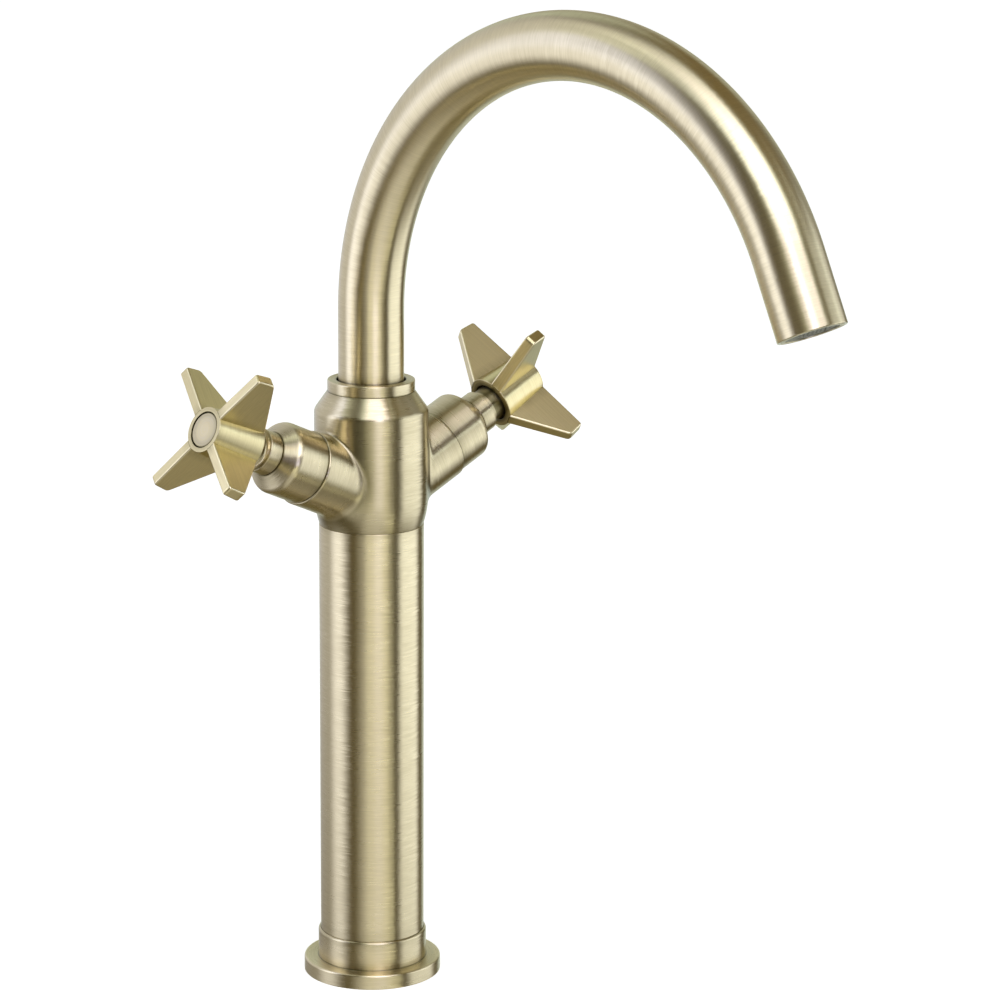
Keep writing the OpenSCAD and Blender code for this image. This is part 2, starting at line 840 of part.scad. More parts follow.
// Splined outline of the spindle's end
module spline_outline(grow) {
    polygon([for (i = [0:2 * spline_count - 1])
        let (r = spindle_r - spline_relief + grow - (i % 2) * spline_depth, a = i * 180 / spline_count)
        r * [cos(a), sin(a)]]);
}

// Spindle: driving foot, stem through the headwork, splined end in the hub
module spindle(side) {
    spline_s = hub_s + hub_recess;
    color(plain_brass)
        on_arm(side)
            difference() {
                union() {
                    translate([0, 0, foot_s])
                        cylinder(r = foot_disc_r, h = spindle_foot_h);
                    translate([-key_len / 2, -key_w / 2, foot_s - key_h])
                        cube([key_len, key_w, key_h + lap]);
                    translate([0, 0, foot_s])
                        cylinder(r = spindle_r, h = spline_s - foot_s);
                    translate([0, 0, spline_s - lap])
                        linear_extrude(height = spline_len + lap)
                            spline_outline(0);
                }
                ring(spindle_r + 1, groove_floor_r, groove_s, oring_w);
                translate([0, 0, hub_s + head_seat - screw_len - 1])
                    cylinder(d = screw_d, h = screw_len + 2);
            }
}

module spindle_oring(side) {
    color(rubber)
        on_arm(side)
            groove_ring(groove_floor_r, spindle_r, groove_s, oring_w);
}

// One fin in side view, from the handle's axis out, with its back edge down to the hub
module fin_outline() {
    front_tip = [fin_reach - fin_tip_lean, hub_len - fin_sweep];
    back_tip = [fin_reach, hub_len - fin_sweep - fin_tip_depth];
    root_r = hub_back_r - 0.4;
    polygon(concat(
        [[0, 0], [root_r, 0]],
        round_corner([root_r, 0], back_tip, front_tip, fin_back_round, 3),
        round_corner(back_tip, front_tip, [hub_front_r, hub_len], fin_front_round, 2),
        [[hub_front_r, hub_len], [0, hub_len]]));
}

// The two drafted sides of a fin, thicker at the back, each moved in by inset
module fin_sides(inset) {
    front = fin_front_t / 2 - inset;
    back = fin_back_t / 2 - inset;
    rotate([90, 0, 90])
        linear_extrude(height = fin_reach + 1)
            polygon([[-back, 0], [back, 0], [front, hub_len], [-front, hub_len]]);
}

// Drafted fin with chamfered edges
module fin() {
    hull() {
        intersection() {
            fin_sides(fin_edge);
            rotate([90, 0, 0])
                linear_extrude(height = fin_back_t + 2, center = true)
                    fin_outline();
        }
        intersection() {
            fin_sides(0);
            rotate([90, 0, 0])
                linear_extrude(height = fin_back_t + 2, center = true)
                    offset(delta = -fin_edge)
                        fin_outline();
        }
    }
}

// Cross handle: conical hub with four fins, hollow at the back, splined socket, cap recess
module handle(side) {
    color(brushed_brass)
        on_arm(side)
            translate([0, 0, hub_s])
                difference() {
                    union() {
                        cylinder(r1 = hub_back_r, r2 = hub_front_r, h = hub_len);
                        for (i = [0:3])
                            rotate([0, 0, fin_start + 90 * i])
                                fin();
                    }
                    translate([0, 0, -1])
                        cylinder(r = sleeve_r + recess_play, h = hub_recess + 1);
                    translate([0, 0, hub_recess - lap])
                        linear_extrude(height = spline_len + lap)
                            spline_outline(seat_clear);
                    cylinder(r = screw_d / 2 + cap_gap, h = hub_len);
                    translate([0, 0, head_seat])
                        cylinder(r = head_pocket_r, h = hub_len);
                    translate([0, 0, cap_floor])
                        cylinder(r = cap_r + cap_gap, h = cap_recess + 1);
                }
}

// Screw with a hexagon socket, from the front of the hub into the spindle
module screw(side) {
    color(steel)
        on_arm(side)
            translate([0, 0, hub_s + head_seat])
                difference() {
                    union() {
                        cylinder(d = screw_head_d, h = screw_head_h);
                        translate([0, 0, -screw_len])
                            cylinder(r = screw_d / 2 - seat_clear, h = screw_len + lap);
                    }
                    translate([0, 0, screw_head_h - socket_depth])
                        cylinder(d = socket_af / cos(30), h = screw_head_h, $fn = 6);
                }
}

// Index cap: a plain disc with a plug that presses into the screw's pocket
module cap(side) {
    color(brushed_brass)
        on_arm(side)
            translate([0, 0, hub_s + cap_floor]) {
                cylinder(r = cap_r, h = cap_h - cap_edge);
                translate([0, 0, cap_h - cap_edge])
                    cylinder(r1 = cap_r, r2 = cap_r - cap_edge, h = cap_edge);
                translate([0, 0, -cap_plug])
                    cylinder(r = head_pocket_r - seat_clear, h = cap_plug + lap);
            }
}

foot_flange();
foot_seal();
base_insert();
column_tube();
supply_pipe(hot);  // hot_supply_pipe
supply_pipe(cold);  // cold_supply_pipe
mixer_body();
neck_ring();
low_washer();
top_washer();
spout_tube();
spout_nipple();
spout_oring(1);  // spout_oring_low
spout_oring(0);  // spout_oring_high
outlet_bush();
aerator_seal();
aerator_cage();
aerator_mesh();
seat_seal(hot);  // hot_seat_seal
fixed_disc(hot);  // hot_fixed_disc
headwork(hot);  // hot_headwork
flange_seal(hot);  // hot_flange_seal
bonnet(hot);  // hot_bonnet
collar(hot);  // hot_collar
turning_disc(hot);  // hot_turning_disc
spindle(hot);  // hot_spindle
spindle_oring(hot);  // hot_spindle_oring
handle(hot);  // hot_handle
screw(hot);  // hot_screw
cap(hot);  // hot_cap
seat_seal(cold);  // cold_seat_seal
fixed_disc(cold);  // cold_fixed_disc
headwork(cold);  // cold_headwork
flange_seal(cold);  // cold_flange_seal
bonnet(cold);  // cold_bonnet
collar(cold);  // cold_collar
turning_disc(cold);  // cold_turning_disc
spindle(cold);  // cold_spindle
spindle_oring(cold);  // cold_spindle_oring
handle(cold);  // cold_handle
screw(cold);  // cold_screw
cap(cold);  // cold_cap
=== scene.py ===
"""Basin mixer tap in brushed antique brass: the looks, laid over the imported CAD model."""

import json
from math import acos, atan2, cos, pi, radians, sin, sqrt, tan

import bmesh
import bpy
import numpy as np
from bpy.props import FloatProperty, FloatVectorProperty, PointerProperty
from mathutils import Matrix, Vector

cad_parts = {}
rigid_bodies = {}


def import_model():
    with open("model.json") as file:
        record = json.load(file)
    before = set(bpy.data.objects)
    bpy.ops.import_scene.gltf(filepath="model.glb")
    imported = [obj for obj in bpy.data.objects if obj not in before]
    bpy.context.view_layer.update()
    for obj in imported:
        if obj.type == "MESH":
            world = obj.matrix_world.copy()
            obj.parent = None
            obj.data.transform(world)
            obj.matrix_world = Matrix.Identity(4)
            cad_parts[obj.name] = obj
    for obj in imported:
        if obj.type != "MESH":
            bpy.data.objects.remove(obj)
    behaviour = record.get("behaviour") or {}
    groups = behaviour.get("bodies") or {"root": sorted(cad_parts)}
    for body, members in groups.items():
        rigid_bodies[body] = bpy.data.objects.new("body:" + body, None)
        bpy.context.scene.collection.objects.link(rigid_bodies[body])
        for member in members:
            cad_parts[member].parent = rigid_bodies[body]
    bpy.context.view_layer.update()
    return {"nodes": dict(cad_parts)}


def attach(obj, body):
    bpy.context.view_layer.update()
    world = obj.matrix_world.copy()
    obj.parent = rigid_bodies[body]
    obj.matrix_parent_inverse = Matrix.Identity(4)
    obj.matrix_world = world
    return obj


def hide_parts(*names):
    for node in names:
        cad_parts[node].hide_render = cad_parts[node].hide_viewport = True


bl_info = {
    "name": "Basin mixer tap",
    "version": (1, 0, 0),
    "blender": (4, 5, 0),
    "location": "3D View > Sidebar > Tap",
    "description": "Makes a tall two-handle basin mixer tap in brushed antique brass, piece by piece",
    "category": "Add Mesh",
}

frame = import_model()

MM = 0.001
SIDES = {"hot": -1, "cold": 1}
FAR = 1.0  # metres; counts as far from any seam
COLUMN_FOOT = 2.5 * MM  # height of the column's lower end, inside the foot
ARM_ROOT = 8 * MM  # where an arm starts, inside the barrel
COLLAR_LENGTH = 6.8 * MM
SLEEVE_LENGTH = 6.2 * MM  # of the sleeve, as far as the handle's hub


# --- Sizes and colours a maker would change ---

def length(name, description, default):
    """A size in metres, shown in the scene's own length unit."""
    return FloatProperty(name=name, description=description, default=default * MM, unit="LENGTH", precision=5)


def angle(name, description, default):
    """An angle in radians, shown in degrees."""
    return FloatProperty(name=name, description=description, default=radians(default), subtype="ANGLE")


def colour(name, description, default):
    """A colour, linear red, green and blue."""
    return FloatVectorProperty(name=name, description=description, default=default, size=3, min=0, max=1,
                               subtype="COLOR")


class TapSizes(bpy.types.PropertyGroup):
    """Sizes of the tap's visible pieces."""
    foot_radius: length("Foot radius", "Radius of the foot flange", 29.79)
    foot_height: length("Foot height", "Height of the flange above the basin", 6.4)
    foot_rim: length("Foot rim", "Rounding of the flange's upper edge", 0.9)
    collar_radius: length("Foot collar radius", "Radius of the collar round the column", 23.55)
    collar_top: length("Foot collar top", "Height of the collar's upper edge", 19.2)
    column_radius: length("Column radius", "Radius of the column tube", 22.5)
    column_top: length("Column top", "Height of the column's upper end", 201.0)
    body_radius: length("Body radius", "Radius of the body's barrel", 24.35)
    body_height: length("Body height", "Height of the body above the column", 58.0)
    arm_axis: length("Arm axis height", "Height where the arms' axes meet the tap's axis", 213.9)
    arm_rise: angle("Arm rise", "How steeply the arms rise", 24.3)
    arm_radius: length("Arm radius", "Radius of the arms", 16.25)
    arm_reach: length("Arm reach", "Length of an arm from the tap's axis", 40.8)
    neck_radius: length("Neck radius", "Radius of the neck ring and of the shoulder's top", 18.7)
    neck_height: length("Neck ring height", "Height of the neck ring", 4.9)
    spout_radius: length("Spout radius", "Outer radius of the spout tube", 14.0)
    spout_wall: length("Spout wall", "Wall of the spout tube", 1.5)
    riser: length("Riser", "Straight tube above the body", 34.9)
    bend_radius: length("Bend radius", "Radius of the swan neck, at the tube's middle", 120.9)
    bend_angle: angle("Bend angle", "How far the swan neck turns", 155.4)
    outlet: length("Outlet", "Straight tube after the swan neck", 30.2)
    spout_turn: angle("Spout turn", "Where the spout stands, from straight ahead", 3.5)
    bonnet_radius: length("Bonnet radius", "Radius of the bonnets", 15.55)
    bonnet_length: length("Bonnet length", "Length of a bonnet's straight part", 15.8)
    nose_length: length("Nose length", "Length of a bonnet's sloped nose", 4.6)
    hub_back: length("Hub back radius", "Radius of the handle's hub at the back", 11.8)
    hub_front: length("Hub front radius", "Radius of the handle's hub at the front", 9.7)
    hub_length: length("Hub length", "Length of the handle's hub", 23.5)
    fin_reach: length("Fin reach", "Distance of the fins' tips from the handle's axis", 34.9)
    fin_front: length("Fin front thickness", "Thickness of the fins at the handle's front", 4.7)
    fin_back: length("Fin back thickness", "Thickness of the fins at the handle's back", 6.0)
    fin_edge: length("Fin edge", "Rounding along the fins' edges", 0.75)
    cap_radius: length("Index cap radius", "Radius of the cap in the hub's end", 7.4)


class TapColours(bpy.types.PropertyGroup):
    """Colours of the tap's finishes."""
    brass: colour("Antique brass", "Brushed and lacquered brass, at its palest", (0.765, 0.655, 0.392))
    brass_deep: colour("Antique brass, deep", "The same brass in the brush lines", (0.665, 0.565, 0.328))
    satin: colour("Satin brass", "Handles, at their palest", (0.8, 0.68, 0.35))
    satin_deep: colour("Satin brass, deep", "The same brass in the brush lines", (0.69, 0.58, 0.29))
    cap: colour("Index caps", "Matt brass of the index caps", (0.66, 0.565, 0.36))
    # partly wear, partly a painted highlight along the fins' edges
    rubbed_and_highlit: colour("Rubbed edges", "Edges that handling has rubbed bright", (0.95, 0.84, 0.58))
    # dark colour of antique patina, and of painted shade in seams, creases and recesses and next to the arms
    toned: colour("Antique toning", "Dark toning left in seams and creases", (0.17, 0.142, 0.06))
    plain_brass: colour("Plain brass", "Machined brass inside the tap", (0.78, 0.60, 0.30))
    copper: colour("Copper", "Supply pipes", (0.72, 0.36, 0.22))
    dull_steel: colour("Aerator steel", "Scaled stainless steel of the aerator", (0.4, 0.375, 0.29))
    steel: colour("Steel", "Screws that hold the handles", (0.62, 0.62, 0.61))
    rubber: colour("Rubber", "Seals and O-rings", (0.012, 0.012, 0.013))
    nylon: colour("Nylon", "Washers under the spout", (0.78, 0.76, 0.70))
    ceramic: colour("Ceramic", "Valve discs", (0.86, 0.85, 0.82))


def sizes():
    """The sizes as the panel has them."""
    return bpy.context.scene.tap_sizes


def colours():
    """The colours as the panel has them."""
    return bpy.context.scene.tap_colours


def body_top():
    """Height of the body's upper end."""
    return sizes().column_top + sizes().body_height


def along_arm():
    """Places along an arm from the tap's axis: the bonnet's shoulder and nose, the collar's end, the hub's back."""
    s = sizes()
    return np.cumsum((s.arm_reach, s.bonnet_length, s.nose_length, COLLAR_LENGTH, SLEEVE_LENGTH))[1:]


# --- Finishes: node materials ---

MOST_DARKENED = 0.93  # the darkest painted shade and antique patina still let a little brass through


class Nodes:
    """Adds and links the shader nodes of a material or a world, from left to right."""

    def __init__(self, owner):
        owner.use_nodes = True
        self.owner, self.tree = owner, owner.node_tree
        self.tree.nodes.clear()

    def add(self, kind, inputs=None, **settings):
        """One node; inputs are values, or sockets to link from."""
        node = self.tree.nodes.new(kind)
        node.location.x = 190 * len(self.tree.nodes)
        for key, value in settings.items():
            setattr(node, key, value)
        for key, value in (inputs or {}).items():
            if isinstance(value, bpy.types.NodeSocket):
                self.tree.links.new(value, node.inputs[key])
            else:
                node.inputs[key].default_value = value
        return node

    def math(self, operation, a, b=0.0):
        """A Math node's value."""
        return self.add("ShaderNodeMath", {0: a, 1: b}, operation=operation).outputs[0]

    def vector(self, operation, inputs):
        """A Vector Math node's vector."""
        return self.add("ShaderNodeVectorMath", inputs, operation=operation).outputs[0]

    def attribute(self, name, output="Vector"):
        """What the mesh keeps under this name."""
        return self.add("ShaderNodeAttribute", attribute_name=name).outputs[output]

    def noise(self, place, scale, detail, roughness=0.5):
        """Noise from 0 to 1 with so many waves a metre."""
        return self.add("ShaderNodeTexNoise", {"Vector": place, "Scale": scale, "Detail": detail,
                                               "Roughness": roughness}).outputs["Fac"]

    def between(self, value, low, high, out_low, out_high):
        """A value mapped from one range to another, held at the ends."""
        return self.add("ShaderNodeMapRange", {"Value": value, "From Min": low, "From Max": high,
                                               "To Min": out_low, "To Max": out_high}).outputs[0]

    def mix(self, factor, a, b):
        """Two colours mixed by a factor."""
        return self.add("ShaderNodeMix", {0: factor, 6: a, 7: b}, data_type="RGBA").outputs[2]

    def finish(self, shader, kind="ShaderNodeOutputMaterial"):
        """Ends the material or the world at this shader."""
        self.add(kind, {"Surface": shader.outputs[0]})
        return self.owner


def rgba(values, scale=1.0):
    """Red, green, blue and a full alpha."""
    return [min(1.0, v * scale) for v in values] + [1.0]


def brushed_brass(name, palest, deepest, roughness, anisotropy, streaks):
    """Brushed antique brass: fine lines across the direction kept in `across`; darkened by antique patina and painted
    shade, and brightened on edges by wear and a painted highlight, where `tone` says.
    """
    n = Nodes(bpy.data.materials.new(name))
    place = n.add("ShaderNodeTexCoord").outputs["Object"]
    x, y, z = n.add("ShaderNodeSeparateXYZ", {0: place}).outputs
    grain = n.attribute("grain", "Fac")
    tangent = n.add("ShaderNodeVectorTransform", {0: n.attribute("across")}, vector_type="VECTOR",
                    convert_from="OBJECT", convert_to="WORLD").outputs[0]
    along_x = n.math("ADD", x, n.math("MULTIPLY", z, 0.7))
    along_y = n.math("SUBTRACT", y, n.math("MULTIPLY", z, 0.6))

    def lines(along, over, detail):
        """Noise drawn out along the brush lines, with so many waves a metre along and over them."""
        drawn = n.add("ShaderNodeCombineXYZ", {0: n.math("MULTIPLY", along_x, along),
                                               1: n.math("MULTIPLY", along_y, along),
                                               2: n.math("MULTIPLY", grain, over)})
        return n.noise(drawn.outputs[0], 1.0, detail, 0.6)

    fine, wide, cloud = lines(120.0, 3000.0, 1.0), lines(40.0, 700.0, 2.0), n.noise(place, 55.0, 3.0)
    shade = n.math("ADD", n.math("MULTIPLY", fine, 0.6),
                   n.math("ADD", n.math("MULTIPLY", wide, 0.25), n.math("MULTIPLY", cloud, 0.15)))
    base = n.mix(n.between(shade, 0.4, 0.6, 0.5 - streaks / 2, 0.5 + streaks / 2), rgba(deepest), rgba(palest))
    # the distances from two seams, and the darkening the place has apart from them; below 0 it is brightened instead,
    # wear together with a painted highlight
    seam_a, seam_b, toned = n.add("ShaderNodeSeparateXYZ", {0: n.attribute("tone")}).outputs
    seam = n.math("MINIMUM", seam_a, seam_b)
    # within 5 mm of a seam the brass darkens, painted shade where parts meet together with antique patina; a dark line
    # runs in the seam itself
    halo = n.math("MULTIPLY", n.between(seam, 0, 5 * MM, 0.45, 0), n.between(wide, 0.3, 0.7, 0.3, 1.0))
    crease = n.between(seam, 0.1 * MM, 0.6 * MM, 0.75, 0)
    total_darkening = n.math("ADD", halo, n.math("ADD", crease, toned))
    # edges are brightened here: wear, together with a painted highlight along them
    base = n.mix(n.between(toned, -1, 0, 1, 0), base, rgba(colours().rubbed_and_highlit))
    # seams, creases and recesses are darkened here: antique patina and painted shade
    base = n.mix(n.between(total_darkening, 0, MOST_DARKENED, 0, MOST_DARKENED), base, rgba(colours().toned))
    swing, lean = 0.03 * streaks, 0.028 * streaks
    # each line leans a little its own way, which frays the edges of the reflections
    normal = n.add("ShaderNodeNewGeometry").outputs["Normal"]
    leaning = n.vector("SCALE", {0: n.vector("CROSS_PRODUCT", {0: normal, 1: tangent}),
                                 "Scale": n.between(fine, 0.3, 0.7, -lean, lean)})
    return n.finish(n.add("ShaderNodeBsdfPrincipled", {
        "Base Color": base, "Metallic": 1.0, "Anisotropic": anisotropy, "Tangent": tangent,
        "Roughness": n.between(shade, 0.38, 0.62, roughness + swing, roughness - swing),
        "Normal": n.vector("NORMALIZE", {0: n.vector("ADD", {0: normal, 1: leaning})})}))


# Waves a metre and detail of marks and of clouds, the tone's darkest and palest share, swing of the gloss, bump, metal
METAL = ((900.0, 3.0), (90.0, 4.0), 0.86, 1.04, 0.06, 0.15, 1.0)
MOULDED = ((1500.0, 2.0), (140.0, 3.0), 0.88, 1.05, 0.05, 0.2, 0.0)


def uneven(name, tone, kind, roughness, level=0.5):
    """Machined metal, rubber, nylon or ceramic: fine marks in gloss and height, clouds in the tone."""
    marks, clouds, darkest, palest, swing, bump, metallic = kind
    n = Nodes(bpy.data.materials.new(name))
    place = n.add("ShaderNodeTexCoord").outputs["Object"]
    mark, cloud = n.noise(place, *marks), n.noise(place, *clouds)
    height = n.add("ShaderNodeBump", {"Strength": bump, "Distance": 0.03 * MM, "Height": mark})
    return n.finish(n.add("ShaderNodeBsdfPrincipled", {
        "Base Color": n.mix(n.between(cloud, 0.35, 0.65, 0.0, 1.0), rgba(tone, darkest), rgba(tone, palest)),
        "Metallic": metallic, "Roughness": n.between(mark, 0.3, 0.7, roughness - swing, roughness + swing),
        "Specular IOR Level": level, "Normal": height.outputs[0]}))


# Each finish: its maker, its colours in the panel, and the numbers its maker takes
FINISHES = {
    "brushed_brass": (brushed_brass, ("brass", "brass_deep"), (0.3, 0.88, 0.92)),
    "tube_brass": (brushed_brass, ("brass", "brass_deep"), (0.3, 0.88, 0.72)),
    "satin_brass": (brushed_brass, ("satin", "satin_deep"), (0.31, 0.35, 0.6)),
    "cap_brass": (brushed_brass, ("cap", "satin_deep"), (0.4, 0.1, 0.6)),
    "pale_brass": (uneven, ("brass",), (METAL, 0.32)),
    "plain_brass": (uneven, ("plain_brass",), (METAL, 0.3)),
    "copper": (uneven, ("copper",), (METAL, 0.32)),
    "dull_steel": (uneven, ("dull_steel",), (METAL, 0.45)),
    "steel": (uneven, ("steel",), (METAL, 0.28)),
    "rubber": (uneven, ("rubber",), (MOULDED, 0.6, 0.35)),
    "nylon": (uneven, ("nylon",), (MOULDED, 0.45, 0.45)),
    "ceramic": (uneven, ("ceramic",), (MOULDED, 0.22, 0.6)),
}
MATERIALS = {}


def finish_of(name):
    """The material of one finish, made once."""
    if name not in MATERIALS:
        maker, tones, numbers = FINISHES[name]
        MATERIALS[name] = maker(name, *(getattr(colours(), tone) for tone in tones), *numbers)
    return MATERIALS[name]


# --- Making turned and swept pieces ---

def soften(corners, closed=True, steps=5):
    """Fillets an outline of (radius, place along the axis, fillet in millimetres) corners.

    Going round with the metal on the left, it gives the points and the normals that face out of the metal.
    """
    points, normals = [], []
    count = len(corners)
    for i, corner in enumerate(corners):
        fillet = corner[2] * MM
        here, before, after = (np.array(corners[k % count][:2], float) for k in (i, i - 1, i + 1))
        end = not closed and i in (0, count - 1)
        into, out = after - here if end and i == 0 else here - before, after - here
        into, out = into / np.linalg.norm(into), out / np.linalg.norm(out)
        n_in = np.array([into[1], -into[0]])
        if end:
            points.append(here)
            normals.append(n_in)
            continue
        turn = atan2(into[0] * out[1] - into[1] * out[0], float(np.dot(into, out)))
        sign = 1 if turn > 0 else -1
        start = here - into * fillet * tan(abs(turn) / 2)
        centre = start - sign * n_in * fillet
        for k in range(steps + 1):
            t = turn * k / steps
            n = np.array([n_in[0] * cos(t) - n_in[1] * sin(t), n_in[0] * sin(t) + n_in[1] * cos(t)])
            points.append(centre + sign * n * fillet)
            normals.append(n)
    return np.array(points), np.array(normals)


def refine(points, normals, pitch):
    """Adds points on a closed outline's long straights, so that a swept tube can bend."""
    new_points, new_normals = [], []
    for a, b, n_a, n_b in zip(points, np.roll(points, -1, 0), normals, np.roll(normals, -1, 0)):
        cuts = max(1, int(np.ceil(abs(b[1] - a[1]) / pitch)))
        for t in np.arange(cuts) / cuts:
            new_points.append(a + (b - a) * t)
            n = n_a * (1 - t) + n_b * t
            new_normals.append(n / np.linalg.norm(n))
    return np.array(new_points), np.array(new_normals)


def straight(place):
    """A straight axis: its place, its two cross directions and its own."""
    m = np.array(place)
    return lambda s: (m[:3, 3] + m[:3, 2] * s, m[:3, 0], m[:3, 1], m[:3, 2])


UPRIGHT = straight(Matrix())


def arm_place(side):
    """Place of one arm: the axis runs out along the arm. The hot side is the cold side mirrored."""
    s = sizes()
    out, up = cos(s.arm_rise), sin(s.arm_rise)
    return Matrix(((side * up, 0, side * out, 0), (0, 1, 0, 0), (-out, 0, up, s.arm_axis), (0, 0, 0, 1)))


def new_object(name, data):
    """An object of the scene that shows this mesh, lamp or camera."""
    made = bpy.data.objects.new(name, data)
    bpy.context.scene.collection.objects.link(made)
    return made


def new_mesh(name, verts, faces):
    """A mesh of points, and faces that go by their numbers."""
    mesh = bpy.data.meshes.new(name)
    mesh.from_pydata([tuple(map(float, v)) for v in verts], [], faces)
    return mesh


def keep(mesh, name, values):
    """Keeps a number or three for each point, for its finish to read."""
    values = np.asarray(values, np.float32)
    kind, field = ("FLOAT", "value") if values.ndim == 1 else ("FLOAT_VECTOR", "vector")
    mesh.attributes.new(name, kind, "POINT").data.foreach_set(field, values.ravel())


def mesh_object(name, part, finish="brushed_brass"):
    """A piece from its lists: points, faces, normals and what the brushed finish reads.

    across: direction across the brush lines; grain: distance across them; tone: distances from two seams, near which
    antique patina and painted shade darken the brass, and the darkening the place has apart from them.
    """
    verts, faces, normals, across, grain, tone = part
    mesh = new_mesh(name, verts, faces)
    mesh.polygons.foreach_set("use_smooth", [True] * len(mesh.polygons))
    keep(mesh, "across", across)
    keep(mesh, "tone", tone)
    keep(mesh, "grain", grain)
    mesh.update()
    mesh.normals_split_custom_set_from_vertices([tuple(map(float, n)) for n in normals])
    mesh.materials.append(finish_of(finish))
    return new_object(name, mesh)


def facing(part, side):
    """A piece's lists; on the mirrored side its faces go round the other way."""
    verts, faces, *rest = part
    return (verts, [tuple(reversed(f)) for f in faces], *rest) if side < 0 else part


def joined(parts):
    """Several pieces' lists as one."""
    whole = [[] for _ in range(6)]
    for part in parts:
        start = len(whole[0])
        for k, values in enumerate(part):
            whole[k] += [tuple(i + start for i in c) for c in values] if k == 1 else list(values)
    return whole


def placed(part, m):
    """A piece's lists moved by a matrix."""
    verts, faces, normals, across, grain, tone = part
    turn = m.to_3x3()
    return ([m @ Vector(v) for v in verts], faces, [turn @ Vector(n) for n in normals],
            [turn @ Vector(a) for a in across], grain, tone)


def ring_faces(rings, closed=False):
    """Faces between rings of point numbers; a ring that is one point many times gives triangles."""
    faces = []
    for a, b in zip(rings, rings[1:] + rings[:1] if closed else rings[1:]):
        for j in range(len(a)):
            k = (j + 1) % len(a)
            faces.append(tuple(dict.fromkeys((a[j], a[k], b[k], b[j]))))
    return [f for f in faces if len(f) > 2]


def turned_mesh(corners, axis=UPRIGHT, closed=True, around=144, steps=5, pitch=None, seams=None, toned=0.0):
    """Lists of a piece whose outline is turned about an axis.

    seams gives the distances from two seams at a radius and a place along the axis, near which painted shade and
    antique patina darken the brass; the last argument is how much darker the whole piece is.
    """
    points, normals = soften(corners, closed, steps)
    if pitch:
        points, normals = refine(points, normals, pitch)
    run = np.concatenate([[0], np.cumsum(np.linalg.norm(np.diff(points, axis=0), axis=1))])
    angles = np.linspace(0, 2 * pi, around, endpoint=False)
    verts, norms, across, grain, tone, rings = [], [], [], [], [], []
    for (r, s), (nr, ns), passed in zip(points, normals, run):
        centre, e1, e2, along = map(np.array, axis(s))
        on_axis = r < 1e-7
        count = 1 if on_axis else around
        rings.append([len(verts)] * around if on_axis else list(range(len(verts), len(verts) + around)))
        grain += [passed] * count
        tone += [(*(seams(r, s) if seams else (FAR, FAR)), toned)] * count
        if on_axis:
            verts.append(centre)
            norms.append(along * (1 if ns >= 0 else -1))
            across.append(e1)
            continue
        for a in angles:
            radial = e1 * cos(a) + e2 * sin(a)
            verts.append(centre + radial * r)
            norms.append(radial * nr + along * ns)
            across.append(along * nr - radial * ns)
    return verts, ring_faces(rings, closed), norms, across, grain, tone


def turned(name, corners, axis=UPRIGHT, side=1, finish="brushed_brass", **options):
    """A piece turned about an axis."""
    return mesh_object(name, facing(turned_mesh(corners, axis, **options), side), finish)


def dress(piece, body, *nodes):
    """Says which body a piece rides on, and the CAD nodes it stands for."""
    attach(piece, body)
    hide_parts(*nodes)


# --- The mixer body: a skin drawn onto a blended form ---

def smooth(value, low, high):
    """0 below low, 1 above high, and a soft step between."""
    t = np.clip((value - low) / (high - low), 0, 1)
    return t * t * (3 - 2 * t)


def blend_least(a, b, k):
    """The lesser of two distances, with the crease between them filled over the width k."""
    h = np.maximum(k - np.abs(a - b), 0) / k
    return np.minimum(a, b) - h * h * k / 4


